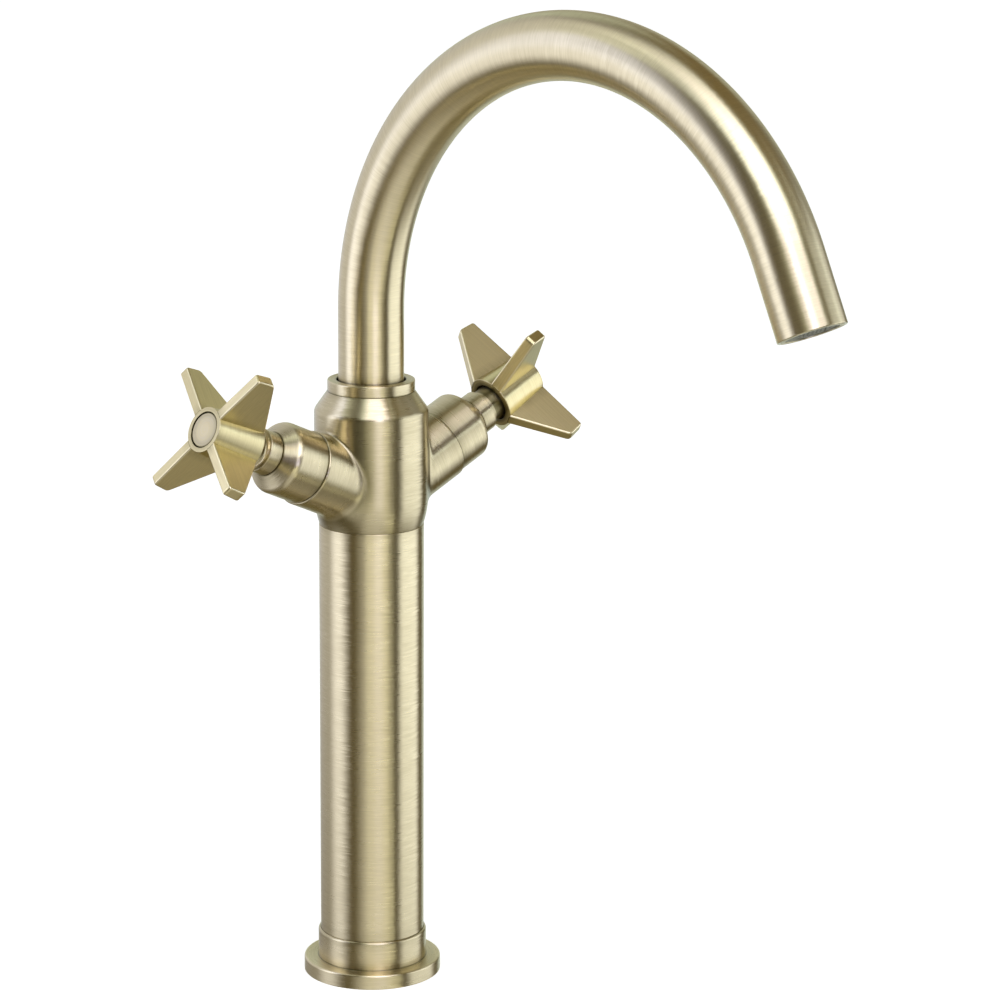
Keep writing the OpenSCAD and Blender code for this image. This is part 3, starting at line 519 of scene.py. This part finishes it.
class BodyForm:
    """Outside of the cast body as a distance: a barrel with a sloped shoulder, and two arms."""

    def __init__(self):
        s = self.s = sizes()
        self.top = body_top()
        self.shoulder = self.top - 8 * MM
        self.corner = 4 * MM  # rounding between the barrel's side and its shoulder
        # the barrel's lower end is drawn in along an arc
        self.inset, self.inset_height = 2.1 * MM, 13 * MM
        self.inset_radius = (self.inset_height ** 2 + self.inset ** 2) / (2 * self.inset)
        out = np.array([self.top - self.shoulder, s.body_radius - s.neck_radius])
        self.out = out / np.linalg.norm(out)  # out of the sloped shoulder, in radius and height
        self.axes = {side: np.array(arm_place(side).col[2][:3]) for side in (-1, 1)}

    def barrel(self, p):
        """Distance to the barrel, from its outline in radius and height."""
        radius, corner = self.s.body_radius, self.corner
        rho, z = np.hypot(p[:, 0], p[:, 1]), p[:, 2]
        low = self.s.column_top + self.inset_height
        drawn_in = np.hypot(rho - (radius - self.inset_radius), z - low) - self.inset_radius
        side = np.where(z < low, drawn_in, rho - radius)
        cone = (rho - radius) * self.out[0] + (z - self.shoulder) * self.out[1]
        turn = acos(self.out[0])
        dr, dz = rho - (radius - corner), z - (self.shoulder - corner * tan(turn / 2))
        angle = np.arctan2(dz, dr)
        rounded = (angle > 0) & (angle < turn) & (z > low)
        return np.where(rounded, np.hypot(dr, dz) - corner, np.maximum(side, cone))

    def arm(self, p, side):
        """Distance to one arm, drawn in at its end, how far along it each point is, and the point from its origin."""
        s = self.s
        q = p - np.array([0, 0, s.arm_axis])
        along = q @ self.axes[side]
        rho = np.linalg.norm(q - along[:, None] * self.axes[side], axis=1)
        end, draw = 0.7 * MM, s.arm_radius - s.bonnet_radius
        curve = (end ** 2 + draw ** 2) / (2 * draw)
        over = along - (s.arm_reach - end)
        ended = np.hypot(rho - (s.arm_radius - curve), over) - curve
        d = np.where(over > 0, ended, rho - s.arm_radius)
        return np.maximum(d, ARM_ROOT - along), along, q

    def underside(self, along, q):
        """How low on an arm each point lies: 0 down to the level of its axis, 1 right under it."""
        return np.clip((along * sin(self.s.arm_rise) - q[:, 2]) / self.s.arm_radius, 0, 1)

    def distance(self, p):
        """Distance to the whole outside; the fillet round each arm is widest in the pit under it."""
        barrel = d = self.barrel(p)
        for side in (-1, 1):
            arm, along, q = self.arm(p, side)
            fillet = (2.0 + 4.0 * self.underside(along, q) ** 2) * MM
            d = np.minimum(d, blend_least(barrel, arm, fillet))
        return d

    def slope_at(self, p, step=2e-6):
        """Gradient of the distance."""
        g = np.zeros_like(p)
        for k in range(3):
            e = np.zeros(3)
            e[k] = step
            g[:, k] = (self.distance(p + e) - self.distance(p - e)) / (2 * step)
        return g

    def settle(self, p, rounds=6):
        """Moves points onto the outside."""
        for _ in range(rounds):
            g = self.slope_at(p)
            p = p - g * (self.distance(p) / np.maximum((g * g).sum(1), 1e-9))[:, None]
        return p

    def brushing(self, p, n):
        """Direction across the brush lines, and the distance across them."""
        barrel = self.barrel(p)
        across = np.tile([0, 0, 1.0], (len(p), 1))
        grain = p[:, 2].copy()
        for side in (-1, 1):
            arm, along, _ = self.arm(p, side)
            on_arm = smooth(barrel - arm, -1.5 * MM, 1.5 * MM)
            across = across * (1 - on_arm[:, None]) + self.axes[side] * on_arm[:, None]
            grain = grain * (1 - on_arm) + (along + 0.1) * on_arm
        across -= (across * n).sum(1)[:, None] * n
        return across / np.maximum(np.linalg.norm(across, axis=1), 1e-6)[:, None], grain

    def toning_and_shade(self, p):
        """How dark each point is painted: an even antique patina, painted shade in the creases and at the joints, and
        a band of painted dark reflection next to each arm.
        """
        s, barrel, z = self.s, self.barrel(p), p[:, 2]

        def near(distance, width):
            """1 at a crease, and fading over a width in millimetres."""
            return np.exp(-distance / (width * MM))

        # an even antique patina, and painted shade at the joints with the column and the neck ring
        tone = 0.12 + 0.2 * near(z - s.column_top, 3) + 0.2 * near(self.top - z, 2)
        climb = smooth(z, s.column_top + 6 * MM, s.column_top + 24 * MM) * (z < self.shoulder)
        for side in (-1, 1):
            arm, along, q = self.arm(p, side)
            # painted shade in the crease round each arm, wider and deeper in the pit under it
            crease = np.maximum(np.maximum(barrel, arm), 0)
            on_arm = np.clip((barrel - arm) / MM + 0.5, 0, 1)
            pit = (0.25 + 0.25 * self.underside(along, q)) * near(crease, 4)
            tone += (1 - 0.6 * on_arm) * (0.3 * near(crease, 1.2) + pit)
            # how far round the barrel from the arm's plane
            aside = np.arctan2(np.abs(p[:, 1]), side * p[:, 0]) * s.body_radius
            arm_reflection_shade = smooth(aside, 12 * MM, 16 * MM) * (1 - smooth(aside, 17.5 * MM, 26 * MM))
            # on the barrel next to each arm, a band of painted dark reflection of the arm and its handle
            tone += (1 - on_arm) * 0.72 * arm_reflection_shade * climb
            # and painted shade on the arm's end by the bonnet
            tone += on_arm * 0.12 * near(s.arm_reach - along, 2)
        return np.clip(tone, 0, 0.85)


def remeshed(parts, voxel):
    """One closed skin over several coarse solids, as a bmesh."""
    verts, faces, *_ = joined(parts)
    rough = new_object("body_rough", new_mesh("body_rough", verts, faces))
    remesh = rough.modifiers.new("remesh", "REMESH")
    remesh.mode, remesh.voxel_size = "VOXEL", voxel
    done = bpy.data.meshes.new_from_object(rough.evaluated_get(bpy.context.evaluated_depsgraph_get()))
    bm = bmesh.new()
    bm.from_mesh(done)
    bpy.data.batch_remove((rough, rough.data, done))
    return bm


def body_skin(voxel):
    """Lists of the body's outside: coarse solids remeshed, cut at the four ends and settled on the form."""
    form, s = BodyForm(), sizes()
    more = 3 * MM  # how much too long the coarse solids are at each end
    edge, face_width, face_tone = 0.14 * MM, 1.6 * MM, 0.6
    r, low, top = s.body_radius, s.column_top, form.top
    barrel = [(0, low - more), (r - form.inset * 1.6, low - more), (r - form.inset, low),
              (r - 0.5 * MM, low + 7 * MM), (r, low + form.inset_height), (r, form.shoulder),
              (s.neck_radius - more * 0.7, top + more), (0, top + more)]
    arm = [(0, ARM_ROOT), (s.arm_radius, ARM_ROOT), (s.arm_radius, s.arm_reach - MM),
           (s.arm_radius - 0.6 * MM, s.arm_reach + more), (0, s.arm_reach + more)]

    def rough(outline, axis, side):
        """Lists of one coarse solid."""
        corners = [(r, z, 0.01) for r, z in outline]
        return facing(turned_mesh(corners, axis, closed=False, around=96, steps=1), side)

    bm = remeshed([rough(barrel, UPRIGHT, 1)] + [rough(arm, straight(arm_place(side)), side) for side in (-1, 1)],
                  voxel)
    cuts = [(Vector((0, 0, low)), Vector((0, 0, -1))), (Vector((0, 0, top)), Vector((0, 0, 1)))]
    for side in (-1, 1):
        place = arm_place(side)
        out = place.col[2].xyz
        cuts.append((place.translation + out * s.arm_reach, out))
    # caps of the overlong ends go first, so that only the sides are settled
    loose = [v for v in bm.verts if any((v.co - co).dot(no) > more - 1.6 * voxel for co, no in cuts)]
    bmesh.ops.delete(bm, geom=loose, context="VERTS")
    for v, co in zip(bm.verts, form.settle(np.array([v.co[:] for v in bm.verts]))):
        v.co = co
    for co, no in cuts:
        bmesh.ops.bisect_plane(bm, geom=bm.verts[:] + bm.edges[:] + bm.faces[:], plane_co=co - no * edge,
                               plane_no=no, clear_outer=True, dist=1e-7)
    p = np.array([v.co[:] for v in bm.verts])
    n = form.slope_at(p)
    n /= np.linalg.norm(n, axis=1)[:, None]
    across, grain = form.brushing(p, n)
    tone = form.toning_and_shade(p)
    kept = {v: (n[i], across[i], grain[i], (FAR, FAR, tone[i])) for i, v in enumerate(bm.verts)}
    # each cut end turns inwards over a hairline edge, then on as a flat face
    for co, no in cuts:
        level = -edge
        for inward, drop in ((edge, edge), (face_width, 0)):
            rim = [e for e in bm.edges if e.is_boundary
                   and all(abs((v.co - co).dot(no) - level) < 2e-6 for v in e.verts)]
            new = [g for g in bmesh.ops.extrude_edge_only(bm, edges=rim)["geom"] if isinstance(g, bmesh.types.BMVert)]
            middle = sum((v.co for v in new), Vector()) / max(len(new), 1)
            for v in new:
                out = v.co - middle
                out -= no * out.dot(no)
                v.co = v.co - out.normalized() * inward + no * drop
                kept[v] = (np.array(no), np.array(out.normalized()), out.length, (FAR, FAR, face_tone))
            level = 0
    bm.verts.index_update()
    verts = [v.co[:] for v in bm.verts]
    normals, across, grain, tone = ([kept[v][k] for v in bm.verts] for k in range(4))
    faces = []
    for f in bm.faces:
        f.normal_update()
        corner = tuple(v.index for v in f.verts)
        faces.append(corner if sum(f.normal.dot(kept[v][0]) for v in f.verts) > 0 else tuple(reversed(corner)))
    bm.free()
    return verts, faces, normals, across, grain, tone


# --- Handles ---

FIN_ANGLES = (40, 130, 220, 310)  # degrees round from the arms' plane


def fin_mesh(angle):
    """Lists of one fin in the handle's own frame: a drafted blade with rounded edges that grows out of the hub."""
    s = sizes()
    b = s.fin_edge
    start = 11.4 * MM  # radius at which the slanted back edge would meet the hub's back
    tip_back, tip_front = 15.1 * MM, s.hub_length - 0.4 * MM
    slope = tip_back / (s.fin_reach - start)
    draft = (s.fin_back - s.fin_front) / 2 / s.hub_length

    def half(z):
        """Half the blade's thickness at a height above the hub's back."""
        return s.fin_back / 2 - draft * z

    def outline(back, front, inset):
        """Side view (r, z) with its normals, pulled in by inset, and the ends inside the hub."""
        lip = sqrt((s.hub_front - 0.25 * MM) ** 2 - front * front)
        foot = sqrt((s.hub_back - 0.28 * MM) ** 2 - back * back)
        root = sqrt((9.0 * MM) ** 2 - back * back)
        corners = [(foot, (foot - start) * slope, 0.02), (s.fin_reach, tip_back, 2.4),
                   (s.fin_reach - 0.9 * MM, tip_front, 1.3), (lip, s.hub_length, 0.02)]
        points, normals = soften(corners, closed=False, steps=6)
        return points - normals * inset, normals, [(root, tip_front), (root, 0.4 * MM)]

    turn = Matrix.Rotation(angle, 3, "Z")
    verts, normals, across, grain, tone, faces = [], [], [], [], [], []
    rows = [(side, radians(a)) for side, steps in ((-1, (90, 67.5, 45, 22.5, 0)), (1, (0, 22.5, 45, 67.5, 90)))
            for a in steps]
    for side, a in rows:
        down, lean = b * (1 - sin(a)), side * sin(a)
        points, ns, inner = outline(half(0) - down, half(s.hub_length) - down, b * (1 - cos(a)))
        loop = [(r, z, nr * cos(a), lean, nz * cos(a) + draft * sin(a)) for (r, z), (nr, nz) in zip(points, ns)]
        loop += [(r, z, 0, lean or side, 0) for r, z in inner]
        for r, z, nr, ny, nz in loop:
            y = side * (half(z) - down)
            verts.append(turn @ Vector((r, y, z)))
            normals.append((turn @ Vector((nr, ny, nz))).normalized())
            edge = abs(ny) < 0.7
            across.append(turn @ Vector((0, 1, 0) if edge else (0, 0, 1)))
            grain.append(y if edge else z)
            hub = s.hub_back + (s.hub_front - s.hub_back) * z / s.hub_length
            # painted shade in the crease at the fin's root by the hub; along each rounded edge the brass is
            # brightened, wear together with a painted highlight
            tone.append((max(r - hub, 0), s.fin_reach + 5 * MM - r, -0.5 * sin(2 * a)))
    width = len(verts) // len(rows)
    for i in range(len(rows) - 1):
        for j in range(width):
            k = (j + 1) % width
            faces.append((i * width + j, (i + 1) * width + j, (i + 1) * width + k, i * width + k))
    faces.append(tuple(range(width)))
    faces.append(tuple(reversed(range(len(verts) - width, len(verts)))))
    return verts, faces, normals, across, grain, tone


# --- Operators: one for each piece or group of like pieces ---

class TAP_OT_stage(bpy.types.Operator):
    """Floor, soft studio light, light tent for the reflections, and the camera"""
    bl_idname = "tap.stage"
    bl_label = "Stage, light and camera"

    def execute(self, context):
        context.scene.view_settings.view_transform = "Standard"
        make_camera()
        make_floor()
        make_tent()
        make_lamps()
        make_world()
        return {"FINISHED"}


class TAP_OT_foot(bpy.types.Operator):
    """Foot flange with its collar"""
    bl_idname = "tap.foot"
    bl_label = "Foot"

    def execute(self, context):
        s = sizes()
        bore, recess = s.column_radius + 0.05 * MM, 20.2 * MM
        groove_in, groove_out, groove_depth = 25.17 * MM, 28.2 * MM, 1.8 * MM  # for the seal
        collar, high, top = s.collar_radius, s.foot_height, s.collar_top
        corners = [
            (groove_out, 0, 0.05), (s.foot_radius, 0, 0.25), (s.foot_radius, high, s.foot_rim / MM),
            (collar, high, 0.25), (collar, top, 1.15), (bore, top, 0.12), (bore, COLUMN_FOOT, 0.1),
            (recess, COLUMN_FOOT, 0.1), (recess, 0, 0.1), (groove_in, 0, 0.05), (groove_in, groove_depth, 0.05),
            (groove_out, groove_depth, 0.05)]

        def seams(r, z):
            """From the collar's foot, whose crease is darkened with painted shade, and from its upper edge."""
            return 0.9 * (abs(z - high) + abs(r - collar)) + 0.1 * MM, top - z + 0.8 * MM

        dress(turned("foot", corners, seams=seams), "base", "foot_flange")
        return {"FINISHED"}


class TAP_OT_column(bpy.types.Operator):
    """Column tube between the foot and the body"""
    bl_idname = "tap.column"
    bl_label = "Column"

    def execute(self, context):
        s = sizes()
        r, r_in = s.column_radius, s.column_radius - 1.5 * MM
        corners = [(r_in, COLUMN_FOOT, 0.1), (r, COLUMN_FOOT, 0.1), (r, s.column_top, 0.22), (r_in, s.column_top, 0.1)]

        def seams(r, z):
            """From the foot's collar and from the body; the column darkens towards both ends, painted shade where it
            meets the foot and the body.
            """
            return max(z - s.collar_top, 0), s.column_top - z + 2 * MM

        dress(turned("column", corners, pitch=20 * MM, seams=seams), "base", "column_tube")
        return {"FINISHED"}


class TAP_OT_body(bpy.types.Operator):
    """Cast mixer body with its two raised arms"""
    bl_idname = "tap.body"
    bl_label = "Mixer body"

    def execute(self, context):
        voxel = 0.6 * MM
        dress(mesh_object("body", body_skin(voxel)), "base", "mixer_body")
        return {"FINISHED"}


class TAP_OT_neck(bpy.types.Operator):
    """Ring that holds the spout in the body"""
    bl_idname = "tap.neck"
    bl_label = "Neck ring"

    def execute(self, context):
        s = sizes()
        low, high = body_top(), body_top() + s.neck_height
        bore, spigot, end = s.spout_radius + 0.8 * MM, 16.9 * MM, body_top() - 8.6 * MM
        corners = [(bore, end, 0.05), (spigot, end, 0.05), (spigot, low, 0.05), (s.neck_radius, low, 0.12),
                   (s.neck_radius, high, 0.5), (bore, high, 0.35)]

        def seams(r, z):
            """From the body and from the spout."""
            return max(z - low, 0), r - bore

        dress(turned("neck_collar", corners, seams=seams), "base", "neck_ring")
        return {"FINISHED"}


class TAP_OT_spout(bpy.types.Operator):
    """Swan-neck spout, one bent tube with a sized outlet"""
    bl_idname = "tap.spout"
    bl_label = "Spout"

    def execute(self, context):
        s = sizes()
        bend = body_top() + s.riser
        arc = s.bend_radius * s.bend_angle
        turn = Matrix.Rotation(s.spout_turn, 3, "Z")
        sideways = turn @ Vector((1, 0, 0))

        def neck(along):
            """Middle line of the tube, by the distance along it."""
            bent = min(max((along - bend) / s.bend_radius, 0), s.bend_angle)
            extra = min(along - bend, 0) + max(along - bend - arc, 0)
            out, ahead = Vector((0, cos(bent), sin(bent))), Vector((0, -sin(bent), cos(bent)))
            centre = Vector((0, -s.bend_radius, bend)) + out * s.bend_radius + ahead * extra
            return turn @ centre, sideways, turn @ out, turn @ ahead

        def seams(r, along):
            """From the neck ring."""
            return max(along - body_top() - s.neck_height, 0), FAR

        r, r_in = s.spout_radius, s.spout_radius - s.spout_wall
        low, high = body_top() - 9.6 * MM, bend + arc + s.outlet
        corners = [(r, low, 0.1), (r, high, 0.3), (r_in, high, 0.3), (r_in, low, 0.1)]
        piece = turned("spout", corners, neck, finish="tube_brass", pitch=2.6 * MM, around=112, seams=seams)
        dress(piece, "spout", "spout_tube")
        return {"FINISHED"}


class TAP_OT_bonnets(bpy.types.Operator):
    """Bonnets on the arms, each with its collar and sleeve"""
    bl_idname = "tap.bonnets"
    bl_label = "Bonnets and collars"

    def execute(self, context):
        start, r = sizes().arm_reach, sizes().bonnet_radius
        shoulder, nose, end, hub = along_arm()
        inner, bore, nose_radius = 13.9 * MM, 7.0 * MM, 9.6 * MM
        bonnet = [(inner, start, 0.05), (r, start, 0.14), (r, shoulder, 3.6), (nose_radius, nose, 0.25),
                  (bore, nose, 0.1), (bore, nose - 1.6 * MM, 0.1), (inner, nose - 6.0 * MM, 0.4)]
        # an undercut of half a millimetre parts the collar from the bonnet; the sleeve ends inside the hub
        gap, undercut, collar_radius, sleeve, tip = 0.5 * MM, 8.9 * MM, 9.4 * MM, 7.8 * MM, end + 9 * MM
        collar = [(bore, nose, 0.05), (undercut, nose, 0.05), (undercut, nose + gap, 0.08),
                  (collar_radius, nose + gap, 0.1), (collar_radius, end, 0.35), (sleeve, end, 0.2),
                  (sleeve, hub - 5.6 * MM, 0), (sleeve, hub - 4.2 * MM, 0), (sleeve, tip, 0.3), (bore, tip, 0.2)]

        def bonnet_seams(r, z):
            """From the arm and from the collar."""
            return z - start, max(r - collar_radius, 0)

        def collar_seams(r, z):
            """From the bonnet's nose and from the hub; the sleeve from 4.1 mm short of the hub onwards is painted
            dark, a painted shadow of the hub's rim.
            """
            return z - nose + gap, max(hub - 4.1 * MM - z, 0) * 3

        for name, side in SIDES.items():
            for piece, corners, seams, node in (("_bonnet_shell", bonnet, bonnet_seams, "_bonnet"),
                                                ("_collar_sleeve", collar, collar_seams, "_collar")):
                made = turned(name + piece, corners, straight(arm_place(side)), side, seams=seams, toned=0.12)
                dress(made, "base", name + node)
        return {"FINISHED"}


class TAP_OT_handles(bpy.types.Operator):
    """Cross handles with four fins, and the index caps in their hubs"""
    bl_idname = "tap.handles"
    bl_label = "Handles and caps"

    def execute(self, context):
        s = sizes()
        recess, recess_depth = 8.7 * MM, 5.5 * MM  # for the sleeve, in the hub's back
        rim, floor = s.cap_radius + 0.3 * MM, s.hub_length - 2.5 * MM
        cap_top = floor + 2.2 * MM
        hub = [(0, recess_depth, 0), (recess, recess_depth, 0.3), (recess, 0, 0.3), (s.hub_back, 0, 0.28),
               (s.hub_front, s.hub_length, 0.25), (rim, s.hub_length, 0.15), (rim, floor, 0.1), (0, floor, 0)]
        cap = [(0, floor, 0), (s.cap_radius, floor, 0.1), (s.cap_radius, cap_top, 0.3), (0, cap_top, 0)]

        def hub_seams(r, z):
            """From the sleeve's recess and from the cap: the recess and the back face round it get painted shade, and
            the ring round the cap darkens.
            """
            outside = max(z - 0.5 * MM, 0) * 10 if r > recess + 0.05 * MM else 0
            return 0.35 * max(r - 8.8 * MM, 0) + outside, abs(r - s.cap_radius) + s.hub_length - z + 0.3 * MM

        def cap_seams(r, z):
            """From the cap's edge."""
            return s.cap_radius - r, FAR

        for name, side in SIDES.items():
            place = arm_place(side) @ Matrix.Translation((0, 0, along_arm()[-1]))
            parts = [turned_mesh(hub, closed=False, seams=hub_seams)]
            parts += [fin_mesh(radians(a)) for a in FIN_ANGLES]
            for piece, part, finish, node in (
                    ("_cross_handle", joined(parts), "satin_brass", "_handle"),
                    ("_index_cap", turned_mesh(cap, closed=False, seams=cap_seams), "cap_brass", "_cap")):
                made = mesh_object(name + piece, facing(placed(part, place), side), finish)
                dress(made, name + "_control", name + node)
        return {"FINISHED"}


# A word in the names of the inner CAD nodes, and the finish that goes with it
INNER_FINISHES = {"seal": "rubber", "oring": "rubber", "pipe": "copper", "washer": "nylon", "disc": "ceramic",
                  "screw": "steel", "cage": "dull_steel", "mesh": "dull_steel", "bush": "pale_brass"}


class TAP_OT_inner_parts(bpy.types.Operator):
    """Finishes of the pieces that keep their CAD mesh: seals, valves, pipes, aerator"""
    bl_idname = "tap.inner_parts"
    bl_label = "Inner parts"

    def execute(self, context):
        for name, node in frame["nodes"].items():
            finish = next((finish for word, finish in INNER_FINISHES.items() if word in name), "plain_brass")
            node.data.materials.clear()
            node.data.materials.append(finish_of(finish))
        return {"FINISHED"}


# --- Stage ---

CAMERA_AZIMUTH = radians(-39.609)
TENT_MIDDLE = Vector((0, -0.05, 0.2))


def look(azimuth, elevation):
    """Unit direction at an azimuth (from the camera's side, to the image's right) and an elevation, in degrees."""
    a, e = CAMERA_AZIMUTH + radians(azimuth), radians(elevation)
    return np.array([sin(a) * cos(e), -cos(a) * cos(e), sin(e)])


def make_camera():
    """Camera at the photograph's viewing angle."""
    distance, height = 1.57065, 0.58049
    aside, down, roll = radians(-2.006), radians(13.236), radians(0.347)
    sensor, focal_pixels, image_pixels = 36.0, 3769.93, 1000
    place = Vector((distance * sin(CAMERA_AZIMUTH), -distance * cos(CAMERA_AZIMUTH), height))
    heading = atan2(-place.y, -place.x) + aside
    ahead = Vector((cos(heading) * cos(down), sin(heading) * cos(down), -sin(down)))
    turn = ahead.to_track_quat("-Z", "Y").to_matrix() @ Matrix.Rotation(roll, 3, "Z")
    data = bpy.data.cameras.new("camera")
    data.sensor_width, data.lens = sensor, sensor * focal_pixels / image_pixels
    data.clip_start, data.clip_end = 0.05, 50
    camera = new_object("camera", data)
    camera.matrix_world = Matrix.Translation(place) @ turn.to_4x4()
    bpy.context.scene.camera = camera


def seen(n):
    """1 for rays that show the background: from the camera, or by way of metal and glass."""
    rays = n.add("ShaderNodeLightPath").outputs
    both = n.math("MAXIMUM", rays["Is Glossy Ray"], rays["Is Transmission Ray"])
    return n.math("MAXIMUM", rays["Is Camera Ray"], both)


def make_floor():
    """Large pale floor that keeps a soft shadow of the tap."""
    far = 6
    corners = [(-far, -far, 0), (far, -far, 0), (far, far, 0), (-far, far, 0)]
    floor = new_object("floor", new_mesh("floor", corners, [(0, 1, 2, 3)]))
    n = Nodes(bpy.data.materials.new("pale_floor"))
    matt = n.add("ShaderNodeBsdfDiffuse", {"Color": (0.8, 0.8, 0.8, 1), "Roughness": 0.5})
    glow = n.add("ShaderNodeEmission", {"Color": (1, 1, 1, 1), "Strength": n.math("MULTIPLY", seen(n), 0.62)})
    floor.data.materials.append(n.finish(n.add("ShaderNodeAddShader", {0: matt.outputs[0], 1: glow.outputs[0]})))
    floor.visible_glossy = False


# Soft panels and dark flags of the light tent, each laid over the ones before it:
# azimuth, elevation, half width, half height and soft edge in degrees, level, and its red and blue for a green of 1
TENT = {
    "front overhead softbox": (28, 62, 62, 24, 3, 2.7, 0.85, 1.12),
    "top softbox": (-33, 73, 98, 13, 25, 0.84, 0.93, 1.03),
    "left softbox": (-84, 19, 13, 29, 21, 2.8, 0.91, 1.5),
    "left high softbox": (-69, 60, 19, 13, 3, 2.31, 0.9, 1.01),
    "front fill": (19, -20, 33, 23, 3, 2.02, 0.98, 0.85),
    "right softbox": (93, -7, 29, 23, 19, 1.59, 0.93, 1.17),
    "right high strip": (86, 19, 22, 3, 3, 2.44, 0.88, 1.22),
    "back fill": (-135, 18, 38, 39, 37, 0.77, 0.97, 1.18),
    "back right fill": (174, 11, 25, 49, 5, 0.78, 0.88, 0.98),
    "front high softbox": (16, 50, 31, 20, 7, 3, 0.98, 1.32),
    "flag left of the front": (-51, 48, 23, 24, 22, 0.03, 1.4, 0.39),
    "flag right of the front": (46, -13, 13, 17, 18, 0.01, 1.57, 0.39),
    "flag high at the back": (109, 60, 55, 23, 19, 0.14, 1.35, 0.39),
    "low front fill": (3, -45, 33, 38, 33, 0.7, 0.99, 1.04),
    "left low fill": (-79, -8, 18, 19, 30, 1.59, 0.95, 1.26),
    "back right side fill": (161, 22, 25, 18, 3, 0.54, 0.95, 0.88),
    "small front fill": (14, 15, 9, 9, 3, 2.94, 0.96, 1.72),
    "flag low at the back": (-174, -58, 64, 21, 9, 0.14, 1.22, 0.4),
}
TENT_DARK = (0.096, 0.076, 0.030)


def tent_light(azimuth, elevation):
    """Red, green and blue light that comes from each direction of the tent; it pales a little low down."""
    light = np.array(TENT_DARK) + 0.12 * np.maximum(0, -elevation - 20)[:, None] / 40
    for az, el, half_w, half_h, soft, level, red, blue in TENT.values():
        off_az = abs((azimuth - az + 180) % 360 - 180)
        cover = (smooth(half_w + soft / 2 - off_az, 0, soft)
                 * smooth(half_h + soft / 2 - abs(elevation - el), 0, soft))[:, None]
        light = light * (1 - cover) + level * np.array([red, 1, blue]) * cover
    return light


def make_tent():
    """Light tent round the tap, seen only in its reflections: softboxes, fills and dark flags."""
    across, down, radius = 180, 90, 1.25
    ways, rings = [(0, 90)], [[0] * across]
    for i in range(1, down):
        rings.append(list(range(len(ways), len(ways) + across)))
        ways += [(360 * j / across, 90 - 180 * i / down) for j in range(across)]
    rings.append([len(ways)] * across)
    ways.append((0, -90))
    mesh = new_mesh("light_tent", [look(*way) * radius for way in ways], ring_faces(rings))
    keep(mesh, "light", tent_light(*np.array(ways).T))
    tent = new_object("light_tent", mesh)
    tent.location = TENT_MIDDLE
    n = Nodes(bpy.data.materials.new("tent_cloth"))
    cloth = n.finish(n.add("ShaderNodeEmission", {"Color": n.attribute("light"), "Strength": 1.0}))
    cloth.cycles.emission_sampling = "NONE"
    mesh.materials.append(cloth)
    tent.visible_camera = tent.visible_diffuse = tent.visible_shadow = tent.visible_transmission = False


def make_lamps():
    """Soft area lamps behind the tent's softboxes, for the floor's shadow and the matt pieces."""
    far = 1.9
    for name, azimuth, elevation, size, strength in (
            ("key", 6, 55, 1.4, 1.0), ("left", -92, 12, 0.9, 0.5), ("right", 92, 10, 0.9, 0.5)):
        direction = Vector(look(azimuth, elevation))
        data = bpy.data.lights.new(name, "AREA")
        data.shape, data.size, data.energy = "SQUARE", size, strength * pi * size * size
        lamp = new_object(name, data)
        turn = direction.to_track_quat("Z", "Y").to_matrix().to_4x4()
        lamp.matrix_world = Matrix.Translation(direction * far + TENT_MIDDLE) @ turn
        lamp.visible_glossy = lamp.visible_camera = False


def make_world():
    """White world behind everything; it lights matt surfaces at a plain level."""
    world = bpy.data.worlds.new("studio")
    bpy.context.scene.world = world
    world.cycles.sampling_method = "NONE"
    n = Nodes(world)
    back = n.add("ShaderNodeBackground", {"Color": (1, 1, 1, 1), "Strength": n.between(seen(n), 0, 1, 0.55, 1.0)})
    n.finish(back, "ShaderNodeOutputWorld")


# --- Panel and registration ---

PIECES = (TAP_OT_stage, TAP_OT_foot, TAP_OT_column, TAP_OT_body, TAP_OT_neck, TAP_OT_spout, TAP_OT_bonnets,
          TAP_OT_handles, TAP_OT_inner_parts)


class TAP_PT_panel(bpy.types.Panel):
    """Lists the tap's operators, sizes and colours"""
    bl_label = "Basin mixer tap"
    bl_idname = "TAP_PT_panel"
    bl_space_type = "VIEW_3D"
    bl_region_type = "UI"
    bl_category = "Tap"

    def draw(self, context):
        for piece in PIECES:
            self.layout.operator(piece.bl_idname)
        for group in (context.scene.tap_sizes, context.scene.tap_colours):
            box = self.layout.box()
            for name in group.__annotations__:
                box.prop(group, name)


CLASSES = (TapSizes, TapColours) + PIECES + (TAP_PT_panel,)


def register():
    for cls in CLASSES:
        bpy.utils.register_class(cls)
    bpy.types.Scene.tap_sizes = PointerProperty(type=TapSizes)
    bpy.types.Scene.tap_colours = PointerProperty(type=TapColours)


def unregister():
    del bpy.types.Scene.tap_colours
    del bpy.types.Scene.tap_sizes
    for cls in reversed(CLASSES):
        bpy.utils.unregister_class(cls)


def main():
    """Registers the classes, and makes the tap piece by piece."""
    register()
    bpy.ops.tap.stage()
    bpy.ops.tap.foot()
    bpy.ops.tap.column()
    bpy.ops.tap.body()
    bpy.ops.tap.neck()
    bpy.ops.tap.spout()
    bpy.ops.tap.bonnets()
    bpy.ops.tap.handles()
    bpy.ops.tap.inner_parts()


if __name__ == "__main__":
    main()
